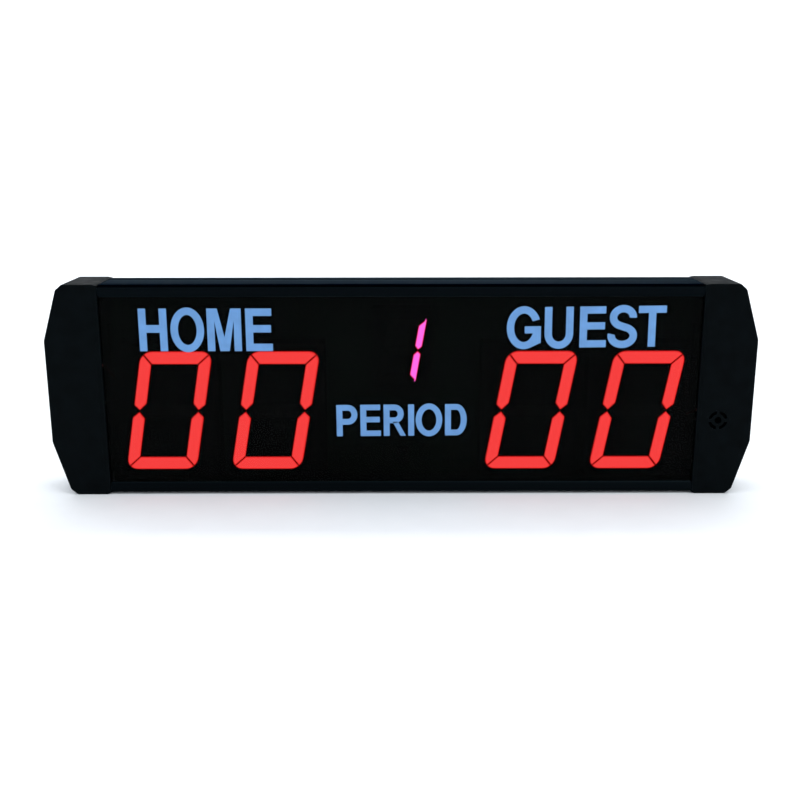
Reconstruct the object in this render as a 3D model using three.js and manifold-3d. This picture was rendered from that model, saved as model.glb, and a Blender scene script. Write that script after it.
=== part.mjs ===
// A wall-hung LED score display: an aluminium channel, closed in front by a tinted lens that slides
// in two grooves and at the ends by two hollow caps. Five seven-segment digit modules stand on one
// circuit board inside. Power comes in at the left end, and a buzzer sounds through the right cap.
// Millimetres, +Z up, the front faces -Y, +X is to the right of someone who reads the display.
// The origin is the middle of the base; inside the assembly, heights count from the middle height.
import * as THREE from "three";
import { mergeVertices } from "three/addons/utils/BufferGeometryUtils.js";
import Module from "manifold-3d";

const wasm = await Module();
wasm.setup();

// ---------------------------------------------------------------- driving dimensions

const HALF_WIDTH = 167; // the whole display is 334 wide
const HALF_HEIGHT = 51; // 102 high
const HALF_DEPTH = 15; // 30 deep
const GAP = 0.3; // left between pieces that touch or slide

// End caps
const CAP_MOUTH = 140.9; // |x| of the edge that meets the channel
const CAP_BEVEL_END = 143; // |x| where the bevel along that edge runs out
const CAP_BEVEL_DEPTH = 0.5;
const CAP_WALL = 2;
const CAP_ROUND = 0.8; // radius of the front and back edges
const CAP_TOP_END = 156.8; // |x| where the level top turns down
const CAP_SHOULDER = { x: 159.9, z: 48.4 };
const CAP_SIDE_HALF_HEIGHT = 24.6; // the upright end face

// Channel, as a section in (y, z)
const CHANNEL_HALF_LENGTH = CAP_MOUTH - GAP;
const CHANNEL_FRONT = -HALF_DEPTH + CAP_BEVEL_DEPTH;
const CHANNEL_BACK = 13.6;
const CHANNEL_TOP = HALF_HEIGHT - CAP_BEVEL_DEPTH;
const CHANNEL_WALL = 1.8;
const CHANNEL_INSIDE_TOP = CHANNEL_TOP - CHANNEL_WALL;
const CHANNEL_INSIDE_BACK = CHANNEL_BACK - CHANNEL_WALL;
const LIP_BACK = CHANNEL_FRONT + 1.1;
const LIP_EDGE = 45; // |z| of the lips' inner edges, which frame the window
const LIP_BEVEL_TOP = 46.9;
const BROW = { z: 49.6, y: -10 }; // where the long chamfer leaves the front and meets the top
const VEE_GROOVE = { y: 6, half: 0.6, depth: 0.5 };

// Lens
const LENS_THICKNESS = 2;
const LENS_FRONT = LIP_BACK + GAP;
const LENS_BACK = LENS_FRONT + LENS_THICKNESS;
const LENS_HALF_HEIGHT = CHANNEL_INSIDE_TOP - 0.4;
const LENS_RIB = { front: LENS_BACK + GAP, thickness: 0.9, edge: 45.6 };

// Circuit board
const BOARD_FRONT = 2;
const BOARD_THICKNESS = 1.6;
const BOARD_BACK = BOARD_FRONT + BOARD_THICKNESS;
const BOARD_HALF_LENGTH = 139.5;
const BOARD_HALF_HEIGHT = CHANNEL_INSIDE_TOP - 0.5;
const BOARD_RIB = { thickness: 1, edge: 45.7 };
const ON_BOARD = BOARD_BACK + GAP; // where the parts on the board's back begin

// Screws and the ports that they bite into
const SCREW_Z = 46.2;
const SCREW_FRONT_Y = -6;
const SCREW_BACK_Y = 8.6;
const PORT_BORE = 1.3;
const PORT_OUTER = 2.4;
const SCREW_SEAT = CAP_MOUTH + 3.5; // |x| of the face under a screw's head
const SCREW = { headRadius: 2.75, headHeight: 2, shankRadius: 1, length: 12 };
const WELL_RADIUS = 3.2;

// Keyhole slots in the channel's back
const KEYHOLE = { x: 80, z: 29, headRadius: 4, neckRadius: 2.1, rise: 9 };

// Digit modules
const DIGIT_FACE = -10.1;
const DIGIT_BACK = BOARD_FRONT - GAP;
const SLANT = Math.tan(THREE.MathUtils.degToRad(10));
const DISPLAY_MIDDLE = 0.8; // the row of digits sits this far to the right of the middle
const SCORE_DIGIT = {
  halfHeight: 29.1,
  bar: 6.15,
  outerHalf: 17,
  innerHalf: 11.15,
  corner: 5.4,
  mitreGap: 0.45,
  middleGap: 0.9,
  outerShoulder: 2.7,
  innerShoulder: 3.4,
  caseHalfWidth: 23.9,
  caseHalfHeight: 33,
};
const PERIOD_DIGIT = {
  halfHeight: 15.25,
  bar: 3.3,
  outerHalf: 9.05,
  innerHalf: 5.75,
  corner: 1.2,
  mitreGap: 0.4,
  middleGap: 0.7,
  outerShoulder: 1.5,
  innerShoulder: 1.9,
  caseHalfWidth: 13.85,
  caseHalfHeight: 20,
};
const SCORE_Z = -10.5;
const SCORE_X = { inner: 61.2, outer: 112.15 };
const PERIOD_PLACE = { x: 0.4, z: 19 };
const DIGIT_WINDOW_DEPTH = 4;
const DIGIT_CASE_WALL = 1.4;
const GUIDE_CLEARANCE = 0.1;

// Sound grille and buzzer, in the right cap
const GRILLE = { x: 150.8, z: -14.2, hole: 1.75, ringInner: 3, ringOuter: 4.6, rib: 1.4 };
const BUZZER = { radius: 6, height: 8 };

// Power pocket, in the left cap's end face
const POCKET = { depth: 4.2, halfWidth: 8, halfHeight: 18 };
const POCKET_FLOOR = -HALF_WIDTH + POCKET.depth;
const JACK_Z = -9.5;
const JACK = { flangeRadius: 5.3, flange: 1.6, threadRadius: 4, bore: 3.2, boreDepth: 9.5 };
const SWITCH_Z = 6.5;
const SWITCH = { halfLength: 7.5, halfWidth: 5.25, bezel: 1.8, bodyHalfLength: 6.3, bodyHalfWidth: 4.1 };
const ROCKER = { halfLength: 4.9, halfWidth: 3, proud: 2, dip: 0.9, tiltDegrees: 11 };

// ---------------------------------------------------------------- shaping tools

function solid(geometry) {
  const bare = geometry.index ? geometry.toNonIndexed() : geometry.clone();
  bare.deleteAttribute("normal");
  bare.deleteAttribute("uv");
  const merged = mergeVertices(bare, 1e-4);
  const mesh = new wasm.Mesh({
    numProp: 3,
    vertProperties: merged.attributes.position.array,
    triVerts: new Uint32Array(merged.index.array),
  });
  return new wasm.Manifold(mesh);
}

function geometryOf(made) {
  const { vertProperties, triVerts, numProp } = made.getMesh();
  const corners = new Float32Array(triVerts.length * 3);
  triVerts.forEach((vertex, i) => {
    corners.set(vertProperties.subarray(vertex * numProp, vertex * numProp + 3), i * 3);
  });
  const geometry = new THREE.BufferGeometry();
  geometry.setAttribute("position", new THREE.BufferAttribute(corners, 3));
  geometry.computeVertexNormals();
  return geometry;
}

function join(...geometries) {
  return geometryOf(geometries.map(solid).reduce((whole, next) => whole.add(next)));
}

function cut(base, ...tools) {
  return geometryOf(tools.map(solid).reduce((left, tool) => left.subtract(tool), solid(base)));
}

function box([x0, x1], [y0, y1], [z0, z1]) {
  const geometry = new THREE.BoxGeometry(x1 - x0, y1 - y0, z1 - z0);
  return geometry.translate((x0 + x1) / 2, (y0 + y1) / 2, (z0 + z1) / 2);
}

function outline(points) {
  return new THREE.Shape(points.map(([across, up]) => new THREE.Vector2(across, up)));
}

function discOutline(radius, sides) {
  const turn = (2 * Math.PI) / sides;
  const points = Array.from({ length: sides }, (_, i) => i * turn);
  return outline(points.map((angle) => [radius * Math.cos(angle), radius * Math.sin(angle)]));
}

// An outline drawn in (x, z), made solid from y0 back to y1.
function prismAlongY(shape, y0, y1, options = {}) {
  const settings = { depth: y1 - y0, bevelEnabled: false, curveSegments: 4, ...options };
  return new THREE.ExtrudeGeometry(shape, settings).rotateX(Math.PI / 2).translate(0, y1, 0);
}

// An outline drawn in (y, z), made solid from x0 to x1.
function prismAlongX(shape, x0, x1) {
  const geometry = new THREE.ExtrudeGeometry(shape, { depth: x1 - x0, bevelEnabled: false });
  const axes = new THREE.Matrix4().makeBasis(
    new THREE.Vector3(0, 1, 0),
    new THREE.Vector3(0, 0, 1),
    new THREE.Vector3(1, 0, 0),
  );
  return geometry.applyMatrix4(axes).translate(x0, 0, 0);
}

function rodAlongX(radius, x0, x1, y, z, sides = 16) {
  const geometry = new THREE.CylinderGeometry(radius, radius, x1 - x0, sides);
  return geometry.rotateZ(Math.PI / 2).translate((x0 + x1) / 2, y, z);
}

function rodAlongY(radius, y0, y1, x, z, sides = 20) {
  const geometry = new THREE.CylinderGeometry(radius, radius, y1 - y0, sides);
  return geometry.translate(x, (y0 + y1) / 2, z);
}

// A profile of [radius, distance along X] points, listed from the low end, turned about the X axis.
function turnedAlongX(profile, sides) {
  const points = profile.map(([radius, along]) => new THREE.Vector2(radius, along));
  return new THREE.LatheGeometry(points, sides).rotateZ(-Math.PI / 2);
}

// The same piece for the other end: x turns over, and so does the order of each triangle's corners.
function mirrored(geometry) {
  const corners = geometry.getAttribute("position").array.slice();
  for (let i = 0; i < corners.length; i += 9) {
    const second = corners.slice(i + 3, i + 6);
    corners.copyWithin(i + 3, i + 6, i + 9);
    corners.set(second, i + 6);
  }
  const turned = new THREE.BufferGeometry();
  turned.setAttribute("position", new THREE.BufferAttribute(corners, 3));
  return turned.scale(-1, 1, 1);
}

// Moves each side of a convex outline inwards by the same distance.
function inset(points, distance) {
  return points.map((point, i) => {
    const before = points[(i + points.length - 1) % points.length];
    const after = points[(i + 1) % points.length];
    const a = new THREE.Vector2(point[0] - before[0], point[1] - before[1]).normalize();
    const b = new THREE.Vector2(after[0] - point[0], after[1] - point[1]).normalize();
    const reach = distance / (1 + a.dot(b));
    return [point[0] - reach * (a.y + b.y), point[1] + reach * (a.x + b.x)];
  });
}

// ---------------------------------------------------------------- housing

// Half of the channel's section: the lower half is the same, turned over.
const UPPER_SECTION = [
  [CHANNEL_BACK, CHANNEL_TOP],
  [VEE_GROOVE.y + VEE_GROOVE.half, CHANNEL_TOP],
  [VEE_GROOVE.y, CHANNEL_TOP - VEE_GROOVE.depth],
  [VEE_GROOVE.y - VEE_GROOVE.half, CHANNEL_TOP],
  [BROW.y, CHANNEL_TOP],
  [CHANNEL_FRONT, BROW.z],
  [CHANNEL_FRONT, LIP_BEVEL_TOP],
  [LIP_BACK, LIP_EDGE],
  [LIP_BACK, CHANNEL_INSIDE_TOP],
  [LENS_RIB.front, CHANNEL_INSIDE_TOP],
  [LENS_RIB.front, LENS_RIB.edge],
  [LENS_RIB.front + LENS_RIB.thickness, LENS_RIB.edge],
  [LENS_RIB.front + LENS_RIB.thickness, CHANNEL_INSIDE_TOP],
  [BOARD_FRONT - GAP - BOARD_RIB.thickness, CHANNEL_INSIDE_TOP],
  [BOARD_FRONT - GAP - BOARD_RIB.thickness, BOARD_RIB.edge],
  [BOARD_FRONT - GAP, BOARD_RIB.edge],
  [BOARD_FRONT - GAP, CHANNEL_INSIDE_TOP],
  [BOARD_BACK + GAP, CHANNEL_INSIDE_TOP],
  [BOARD_BACK + GAP, BOARD_RIB.edge],
  [BOARD_BACK + GAP + BOARD_RIB.thickness, BOARD_RIB.edge],
  [BOARD_BACK + GAP + BOARD_RIB.thickness, CHANNEL_INSIDE_TOP],
  [CHANNEL_INSIDE_BACK, CHANNEL_INSIDE_TOP],
];

const SCREW_PLACES = [
  [SCREW_FRONT_Y, SCREW_Z],
  [SCREW_BACK_Y, SCREW_Z],
  [SCREW_FRONT_Y, -SCREW_Z],
  [SCREW_BACK_Y, -SCREW_Z],
];

function keyhole(x) {
  const { headRadius, neckRadius, z, rise } = KEYHOLE;
  const entry = rodAlongY(headRadius, CHANNEL_INSIDE_BACK - 1, CHANNEL_BACK + 1, x, z);
  const neck = rodAlongY(neckRadius, CHANNEL_INSIDE_BACK - 1, CHANNEL_BACK + 1, x, z + rise, 16);
  const slot = box(
    [x - neckRadius, x + neckRadius],
    [CHANNEL_INSIDE_BACK - 1, CHANNEL_BACK + 1],
    [z, z + rise],
  );
  return join(entry, neck, slot);
}

function bodyExtrusion() {
  const lower = UPPER_SECTION.map(([y, z]) => [y, -z]).reverse();
  const length = [-CHANNEL_HALF_LENGTH, CHANNEL_HALF_LENGTH];
  const channel = prismAlongX(outline([...UPPER_SECTION, ...lower]), ...length);
  const ports = SCREW_PLACES.map(([y, z]) => rodAlongX(PORT_OUTER, ...length, y, z, 16));
  const webs = SCREW_PLACES.map(([y, z]) => {
    const wall = Math.sign(z) * (CHANNEL_INSIDE_TOP + 0.5);
    return box(length, [y - 1.4, y + 1.4], [Math.min(z, wall), Math.max(z, wall)]);
  });
  const bores = SCREW_PLACES.map(([y, z]) => {
    return rodAlongX(PORT_BORE, -CHANNEL_HALF_LENGTH - 1, CHANNEL_HALF_LENGTH + 1, y, z, 12);
  });
  return cut(join(channel, ...ports, ...webs), ...bores, keyhole(-KEYHOLE.x), keyhole(KEYHOLE.x));
}

function frontLens() {
  const half = CHANNEL_HALF_LENGTH - 0.1;
  return box([-half, half], [LENS_FRONT, LENS_BACK], [-LENS_HALF_HEIGHT, LENS_HALF_HEIGHT]);
}

// The cap's face from the front, drawn for the right end. It starts short of the mouth, where the
// cut that opens the cap takes the rest away.
function capOutline(start) {
  const bevelSlope = CAP_BEVEL_DEPTH / (CAP_BEVEL_END - CAP_MOUTH);
  const startTop = HALF_HEIGHT - bevelSlope * (CAP_BEVEL_END - start);
  return [
    [start, -startTop],
    [CAP_BEVEL_END, -HALF_HEIGHT],
    [CAP_TOP_END, -HALF_HEIGHT],
    [CAP_SHOULDER.x, -CAP_SHOULDER.z],
    [HALF_WIDTH, -CAP_SIDE_HALF_HEIGHT],
    [HALF_WIDTH, CAP_SIDE_HALF_HEIGHT],
    [CAP_SHOULDER.x, CAP_SHOULDER.z],
    [CAP_TOP_END, HALF_HEIGHT],
    [CAP_BEVEL_END, HALF_HEIGHT],
    [start, startTop],
  ];
}

// A hollow cap for the right end, with its screw bosses and the tongue that enters the channel.
function plainCap() {
  const beyond = CAP_MOUTH - 6;
  const shell = prismAlongY(outline(capOutline(beyond)), CAP_ROUND - HALF_DEPTH, HALF_DEPTH - CAP_ROUND, {
    bevelEnabled: true,
    bevelThickness: CAP_ROUND,
    bevelSize: CAP_ROUND,
    bevelOffset: -CAP_ROUND,
    bevelSegments: 3,
  });
  const hollow = prismAlongY(
    outline(inset(capOutline(beyond), CAP_WALL)),
    CAP_WALL - HALF_DEPTH,
    HALF_DEPTH - CAP_WALL,
  );
  const bosses = SCREW_PLACES.map(([y, z]) => {
    const end = CAP_SHOULDER.x - CAP_WALL / 2;
    return rodAlongX(WELL_RADIUS + 1.3, CAP_MOUTH, end, y, z);
  });
  const inside = solid(shell).subtract(solid(hollow));
  const filled = bosses.map(solid).reduce((whole, boss) => whole.add(boss), inside);
  const trimmed = filled.intersect(solid(shell));
  const opening = box([beyond - 10, CAP_MOUTH], [-20, 20], [-60, 60]);
  const wells = SCREW_PLACES.map(([y, z]) => rodAlongX(WELL_RADIUS, SCREW_SEAT, HALF_WIDTH, y, z));
  const clearances = SCREW_PLACES.map(([y, z]) => rodAlongX(PORT_BORE, 139, SCREW_SEAT + 1, y, z, 12));
  const bevelWedge = prismAlongZ([
    [CAP_BEVEL_END, -HALF_DEPTH],
    [CAP_MOUTH - 2.1, -HALF_DEPTH + 2 * CAP_BEVEL_DEPTH],
    [CAP_MOUTH - 2.1, -HALF_DEPTH - 1],
    [CAP_BEVEL_END, -HALF_DEPTH - 1],
  ]);
  const tools = [opening, bevelWedge, ...wells, ...clearances];
  const open = tools.map(solid).reduce((left, tool) => left.subtract(tool), trimmed);
  const tongueFront = CHANNEL_INSIDE_BACK - GAP - 1.8;
  const tongueRoot = box([CAP_MOUTH + GAP, CAP_MOUTH + 3], [tongueFront, HALF_DEPTH - 1], [-28, 28]);
  const tongue = box([136, CAP_MOUTH + 3], [tongueFront, CHANNEL_INSIDE_BACK - GAP], [-28, 28]);
  return geometryOf(open.add(solid(tongueRoot)).add(solid(tongue)));
}

// An outline drawn in (x, y), made solid over the whole height.
function prismAlongZ(points) {
  const geometry = new THREE.ExtrudeGeometry(outline(points), { depth: 120, bevelEnabled: false });
  return geometry.translate(0, 0, -60);
}

// The right cap, with the sound grille and the ring behind it that holds the buzzer.
function rightEndCap() {
  const wallInside = -HALF_DEPTH + CAP_WALL;
  const { x, z, hole, ringInner, ringOuter, rib } = GRILLE;
  const ring = cut(
    rodAlongY(BUZZER.radius + 1.6, wallInside - 0.5, wallInside + 5, x, z),
    rodAlongY(BUZZER.radius + GAP, wallInside - 1, wallInside + 6, x, z),
  );
  const front = [-HALF_DEPTH - 1, wallInside + 1];
  const slots = cut(
    rodAlongY(ringOuter, ...front, x, z, 32),
    rodAlongY(ringInner, front[0] - 1, front[1] + 1, x, z, 32),
    box([x - rib / 2, x + rib / 2], [front[0] - 1, front[1] + 1], [z - 6, z + 6]),
    box([x - 6, x + 6], [front[0] - 1, front[1] + 1], [z - rib / 2, z + rib / 2]),
  );
  return cut(join(plainCap(), ring), slots, rodAlongY(hole, ...front, x, z, 20));
}

// The left cap, with the pocket that keeps the power socket and the switch below the end face.
function leftEndCap() {
  const cap = mirrored(plainCap());
  const { halfWidth, halfHeight } = POCKET;
  const insideFloor = POCKET_FLOOR + CAP_WALL;
  const tray = box(
    [-HALF_WIDTH + 0.5, insideFloor],
    [-halfWidth - CAP_WALL, halfWidth + CAP_WALL],
    [-halfHeight - CAP_WALL, halfHeight + CAP_WALL],
  );
  const pocket = box([-HALF_WIDTH - 1, POCKET_FLOOR], [-halfWidth, halfWidth], [-halfHeight, halfHeight]);
  const jackHole = rodAlongX(JACK.threadRadius + GAP, POCKET_FLOOR - 1, insideFloor + 1, 0, JACK_Z);
  const bodyLength = SWITCH.bodyHalfLength + GAP;
  const bodyWidth = SWITCH.bodyHalfWidth + GAP;
  const switchHole = box(
    [POCKET_FLOOR - 1, insideFloor + 1],
    [-bodyWidth, bodyWidth],
    [SWITCH_Z - bodyLength, SWITCH_Z + bodyLength],
  );
  return cut(join(cap, tray), pocket, jackHole, switchHole);
}

// A pan-head tapping screw for the right end, its seat at x = 0 and its point towards -X.
function capScrew() {
  const { headRadius, headHeight, shankRadius, length } = SCREW;
  const profile = [
    [0, -length],
    [shankRadius * 0.3, -length],
    [shankRadius, -length + 1.8],
    [shankRadius, GAP],
    [headRadius, GAP],
    [headRadius, GAP + headHeight * 0.55],
    [headRadius * 0.8, GAP + headHeight * 0.9],
    [0, GAP + headHeight],
  ];
  const recess = [GAP + headHeight - 1.1, GAP + headHeight + 1];
  return cut(
    turnedAlongX(profile, 12),
    box(recess, [-1.5, 1.5], [-0.35, 0.35]),
    box(recess, [-0.35, 0.35], [-1.5, 1.5]),
  );
}

// ---------------------------------------------------------------- digit modules

// The seven segments of a digit as slanted outlines. grow widens each one all round.
function segmentOutlines(digit, grow) {
  const cornerX = digit.innerHalf;
  const cornerZ = digit.halfHeight - digit.bar;
  const outer = digit.outerHalf + grow;
  const inner = digit.innerHalf - grow;
  const top = digit.halfHeight + grow;
  const under = cornerZ - grow;
  const radius = digit.corner + grow;
  const halfMitre = digit.mitreGap / 2 - grow;

  // The mitre runs from the frame's inner corner to its outer corner.
  const mitre = new THREE.Vector2(digit.outerHalf - cornerX, digit.bar).normalize();
  const arcX = outer - radius;
  const arcZ = top - radius;
  const offLine = mitre.x * (arcZ - cornerZ) - mitre.y * (arcX - cornerX);
  const mitreAngle = mitre.angle();
  const barArc = mitreAngle + Math.asin((halfMitre - offLine) / radius);
  const sideArc = mitreAngle - Math.asin((halfMitre + offLine) / radius);

  const barEnd = cornerX - (grow * mitre.x + halfMitre) / mitre.y;
  const bar = new THREE.Shape();
  bar.moveTo(-barEnd, under);
  bar.lineTo(barEnd, under);
  bar.absarc(arcX, arcZ, radius, barArc, Math.PI / 2, false);
  bar.absarc(-arcX, arcZ, radius, Math.PI / 2, Math.PI - barArc, false);

  const tip = digit.middleGap / 2 - grow;
  const middle = (digit.outerHalf + digit.innerHalf) / 2;
  const side = new THREE.Shape();
  side.moveTo(inner, cornerZ - (grow * mitre.y + halfMitre) / mitre.x);
  side.absarc(arcX, arcZ, radius, sideArc, 0, true);
  side.lineTo(outer, tip + digit.outerShoulder);
  side.lineTo(middle, tip);
  side.lineTo(inner, tip + digit.innerShoulder);

  const halfBar = digit.bar / 2 + grow;
  const point = middle - 0.35 + grow;
  const lean = ((middle - digit.innerHalf) / digit.innerShoulder) * halfBar;
  const centre = [
    [point, 0],
    [point - lean, halfBar],
    [lean - point, halfBar],
    [-point, 0],
    [lean - point, -halfBar],
    [point - lean, -halfBar],
  ].map(([x, z]) => new THREE.Vector2(x, z));

  const turned = (points, flipX, flipZ) => points.map(({ x, y }) => new THREE.Vector2(x * flipX, y * flipZ));
  const barPoints = bar.getPoints(4);
  const sidePoints = side.getPoints(4);
  const upright = [
    barPoints,
    sidePoints,
    turned(sidePoints, 1, -1),
    turned(barPoints, 1, -1),
    turned(sidePoints, -1, -1),
    turned(sidePoints, -1, 1),
    centre,
  ];
  return upright.map((points) => {
    return new THREE.Shape(points.map(({ x, y }) => new THREE.Vector2(x + y * SLANT, y)));
  });
}

// The black case: a tray that opens to the back, its face pierced by the seven windows.
function digitCase(digit) {
  const { caseHalfWidth: halfWidth, caseHalfHeight: halfHeight } = digit;
  const block = box([-halfWidth, halfWidth], [DIGIT_FACE, DIGIT_BACK], [-halfHeight, halfHeight]);
  const roomX = halfWidth - DIGIT_CASE_WALL;
  const roomZ = halfHeight - DIGIT_CASE_WALL;
  const room = box(
    [-roomX, roomX],
    [DIGIT_FACE + DIGIT_WINDOW_DEPTH, DIGIT_BACK + 1],
    [-roomZ, roomZ],
  );
  const windows = segmentOutlines(digit, GUIDE_CLEARANCE).map((shape) => {
    return prismAlongY(shape, DIGIT_FACE - 1, DIGIT_FACE + DIGIT_WINDOW_DEPTH + 1);
  });
  return cut(block, room, ...windows);
}

// The clear resin cast inside the case: one block, with a light guide standing in each window.
function digitSegments(digit) {
  const roomX = digit.caseHalfWidth - DIGIT_CASE_WALL - GAP;
  const roomZ = digit.caseHalfHeight - DIGIT_CASE_WALL - GAP;
  const blockFront = DIGIT_FACE + DIGIT_WINDOW_DEPTH + GAP;
  const block = box([-roomX, roomX], [blockFront, DIGIT_BACK - GAP], [-roomZ, roomZ]);
  const guides = segmentOutlines(digit, 0).map((shape) => prismAlongY(shape, DIGIT_FACE, blockFront + 0.5));
  return join(block, ...guides);
}

// ---------------------------------------------------------------- parts on the circuit board

// A chip in a moulded package at the middle of the board's back, its legs in two rows along X.
function chip(length, width, height, legsPerSide, pitch) {
  const body = box([-length / 2, length / 2], [ON_BOARD + 0.2, ON_BOARD + height], [-width / 2, width / 2]);
  const reach = width / 2 + 1.4;
  const legHeight = ON_BOARD + height / 2;
  const legs = Array.from({ length: legsPerSide }, (_, i) => {
    const x = (i - (legsPerSide - 1) / 2) * pitch;
    const bent = [
      [ON_BOARD, -reach],
      [ON_BOARD, -reach + 0.8],
      [legHeight, -reach + 1],
      [legHeight, reach - 1],
      [ON_BOARD, reach - 0.8],
      [ON_BOARD, reach],
      [ON_BOARD + 0.25, reach],
      [legHeight + 0.25, reach - 0.7],
      [legHeight + 0.25, 0.7 - reach],
      [ON_BOARD + 0.25, -reach],
    ];
    return prismAlongX(outline(bent), x - 0.2, x + 0.2);
  });
  return join(body, ...legs);
}

function crystalCan() {
  const ends = new THREE.Shape();
  ends.absarc(3.2, 0, 2.3, -Math.PI / 2, Math.PI / 2, false);
  ends.absarc(-3.2, 0, 2.3, Math.PI / 2, (3 * Math.PI) / 2, false);
  return prismAlongY(ends, ON_BOARD, ON_BOARD + 3.5);
}

const COIN = { radius: 10, thickness: 3.2, seat: ON_BOARD + 1 };

function batteryHolder() {
  const height = COIN.thickness + 1.4;
  const drum = rodAlongY(COIN.radius + 1.4, ON_BOARD, ON_BOARD + height, 0, 0, 24);
  const room = rodAlongY(COIN.radius + GAP, COIN.seat - GAP, ON_BOARD + height + 1, 0, 0, 24);
  const fingerGap = box([-4, 4], [COIN.seat - GAP, ON_BOARD + height + 1], [7, 14]);
  return cut(drum, room, fingerGap);
}

function coinCell() {
  const can = rodAlongY(COIN.radius, COIN.seat, COIN.seat + COIN.thickness * 0.8, 0, 0, 24);
  const lid = rodAlongY(COIN.radius - 1, COIN.seat, COIN.seat + COIN.thickness, 0, 0, 24);
  return join(can, lid);
}

// An electrolytic capacitor lying on its side, its bung towards -X.
function filterCapacitor() {
  const radius = 3.15;
  const lift = ON_BOARD + radius;
  const profile = [
    [0, -5.6],
    [radius - 0.5, -5.6],
    [radius, -5.2],
    [radius, -4.4],
    [radius - 0.4, -4],
    [radius, -3.6],
    [radius, 5.3],
    [radius - 0.3, 5.6],
    [0, 5.6],
  ];
  const can = turnedAlongX(profile, 16).translate(0, lift, 0);
  const legs = [-1.25, 1.25].map((z) => {
    const bent = [
      [-7.2, ON_BOARD],
      [-6.7, ON_BOARD],
      [-6.7, lift - 0.25],
      [-5, lift - 0.25],
      [-5, lift + 0.25],
      [-7.2, lift + 0.25],
    ];
    return new THREE.ExtrudeGeometry(outline(bent), { depth: 0.5, bevelEnabled: false }).translate(0, 0, z - 0.25);
  });
  return join(can, ...legs);
}

function powerInductor() {
  const half = 3.6;
  const corner = 1.2;
  const shape = outline([
    [-half, corner - half],
    [corner - half, -half],
    [half - corner, -half],
    [half, corner - half],
    [half, half - corner],
    [half - corner, half],
    [corner - half, half],
    [-half, half - corner],
  ]);
  const block = prismAlongY(shape, ON_BOARD, ON_BOARD + 4);
  return cut(block, rodAlongY(2.6, ON_BOARD + 3.5, ON_BOARD + 5, 0, 0));
}

function voltageRegulator() {
  const body = box([-3.3, 3.3], [ON_BOARD + 0.2, ON_BOARD + 2.3], [-3.1, 3]);
  const tab = box([-2.7, 2.7], [ON_BOARD, ON_BOARD + 0.6], [2, 4.2]);
  const legs = [-2.3, 2.3].map((x) => box([x - 0.35, x + 0.35], [ON_BOARD, ON_BOARD + 0.6], [-5.4, -2.5]));
  return join(body, tab, ...legs);
}

function powerDiode() {
  const body = box([-3.4, 3.4], [ON_BOARD + 0.1, ON_BOARD + 2.3], [-2.9, 2.9]);
  const straps = [-1, 1].map((side) => {
    const ends = [side * 2.6, side * 4].sort((a, b) => a - b);
    return box(ends, [ON_BOARD, ON_BOARD + 1.2], [-1.5, 1.5]);
  });
  return join(body, ...straps);
}

// The receiver for the remote control looks out through the lens from the board's front.
function infraredReceiver() {
  const back = BOARD_FRONT - GAP;
  const body = box([-3, 3], [-6.2, -2.3], [-3.5, 3.5]);
  const dome = new THREE.SphereGeometry(2.4, 12, 8).translate(0, -6, 0.6);
  const legs = [-1.27, 0, 1.27].map((x) => {
    return join(
      box([x - 0.25, x + 0.25], [-4.2, -3.8], [-6.5, -3]),
      box([x - 0.25, x + 0.25], [-4.2, back], [-6.5, -6.1]),
    );
  });
  return join(body, dome, ...legs);
}

// A wire-to-board connector: the shrouded header and the plug that sits in it, facing +X.
const PLUG_WIRE_Y = ON_BOARD + 3;
const PLUG_END = 8.3; // from the header's middle to the plug's outer end
const WIRE_PITCH = 2.5;

function boardHeader() {
  const shroud = box([-3.5, 3.5], [ON_BOARD, ON_BOARD + 6], [-5, 5]);
  return cut(shroud, box([-2.5, 4], [ON_BOARD + 1, ON_BOARD + 5], [-4, 4]));
}

function wirePlug() {
  const block = box([-2.2, PLUG_END], [ON_BOARD + 1 + GAP, ON_BOARD + 5 - GAP], [GAP - 4, 4 - GAP]);
  const keyway = box([4, PLUG_END + 1], [ON_BOARD + 4, ON_BOARD + 6], [-1.5, 1.5]);
  return cut(block, keyway);
}

// ---------------------------------------------------------------- buzzer, power socket, switch

function buzzerBody() {
  const front = -HALF_DEPTH + CAP_WALL + GAP;
  const back = front + BUZZER.height;
  const can = rodAlongY(BUZZER.radius, front, back, 0, 0, 28);
  const legs = [-3.2, 3.2].map((z) => rodAlongY(0.35, back - 1, back + 2, 0, z, 8));
  return cut(join(can, ...legs), rodAlongY(1, front - 1, front + 1.5, 0, 0, 12));
}

const JACK_FLANGE_BACK = POCKET_FLOOR - GAP;
const JACK_MOUTH = JACK_FLANGE_BACK - JACK.flange;
const JACK_END = -150.6;
const JACK_PIN_RADIUS = 1;

function jackBody() {
  const flange = rodAlongX(JACK.flangeRadius, JACK_MOUTH, JACK_FLANGE_BACK, 0, 0, 28);
  const thread = rodAlongX(JACK.threadRadius, JACK_MOUTH + 0.5, JACK_END, 0, 0, 28);
  const tag = box([JACK_END - 1, -147.5], [2.6, 3.4], [-1.2, 1.2]);
  const bore = rodAlongX(JACK.bore, JACK_MOUTH - 1, JACK_MOUTH + JACK.boreDepth, 0, 0, 24);
  const pinHole = rodAlongX(JACK_PIN_RADIUS + 0.2, JACK_MOUTH, JACK_END + 1, 0, 0, 12);
  return cut(join(flange, thread, tag), bore, pinHole);
}

function jackPin() {
  const profile = [
    [0, -149],
    [JACK_PIN_RADIUS, -149],
    [JACK_PIN_RADIUS, JACK_MOUTH + 2.8],
    [JACK_PIN_RADIUS * 0.6, JACK_MOUTH + 2.3],
    [0, JACK_MOUTH + 2.3],
  ].reverse();
  return turnedAlongX(profile, 12);
}

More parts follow.
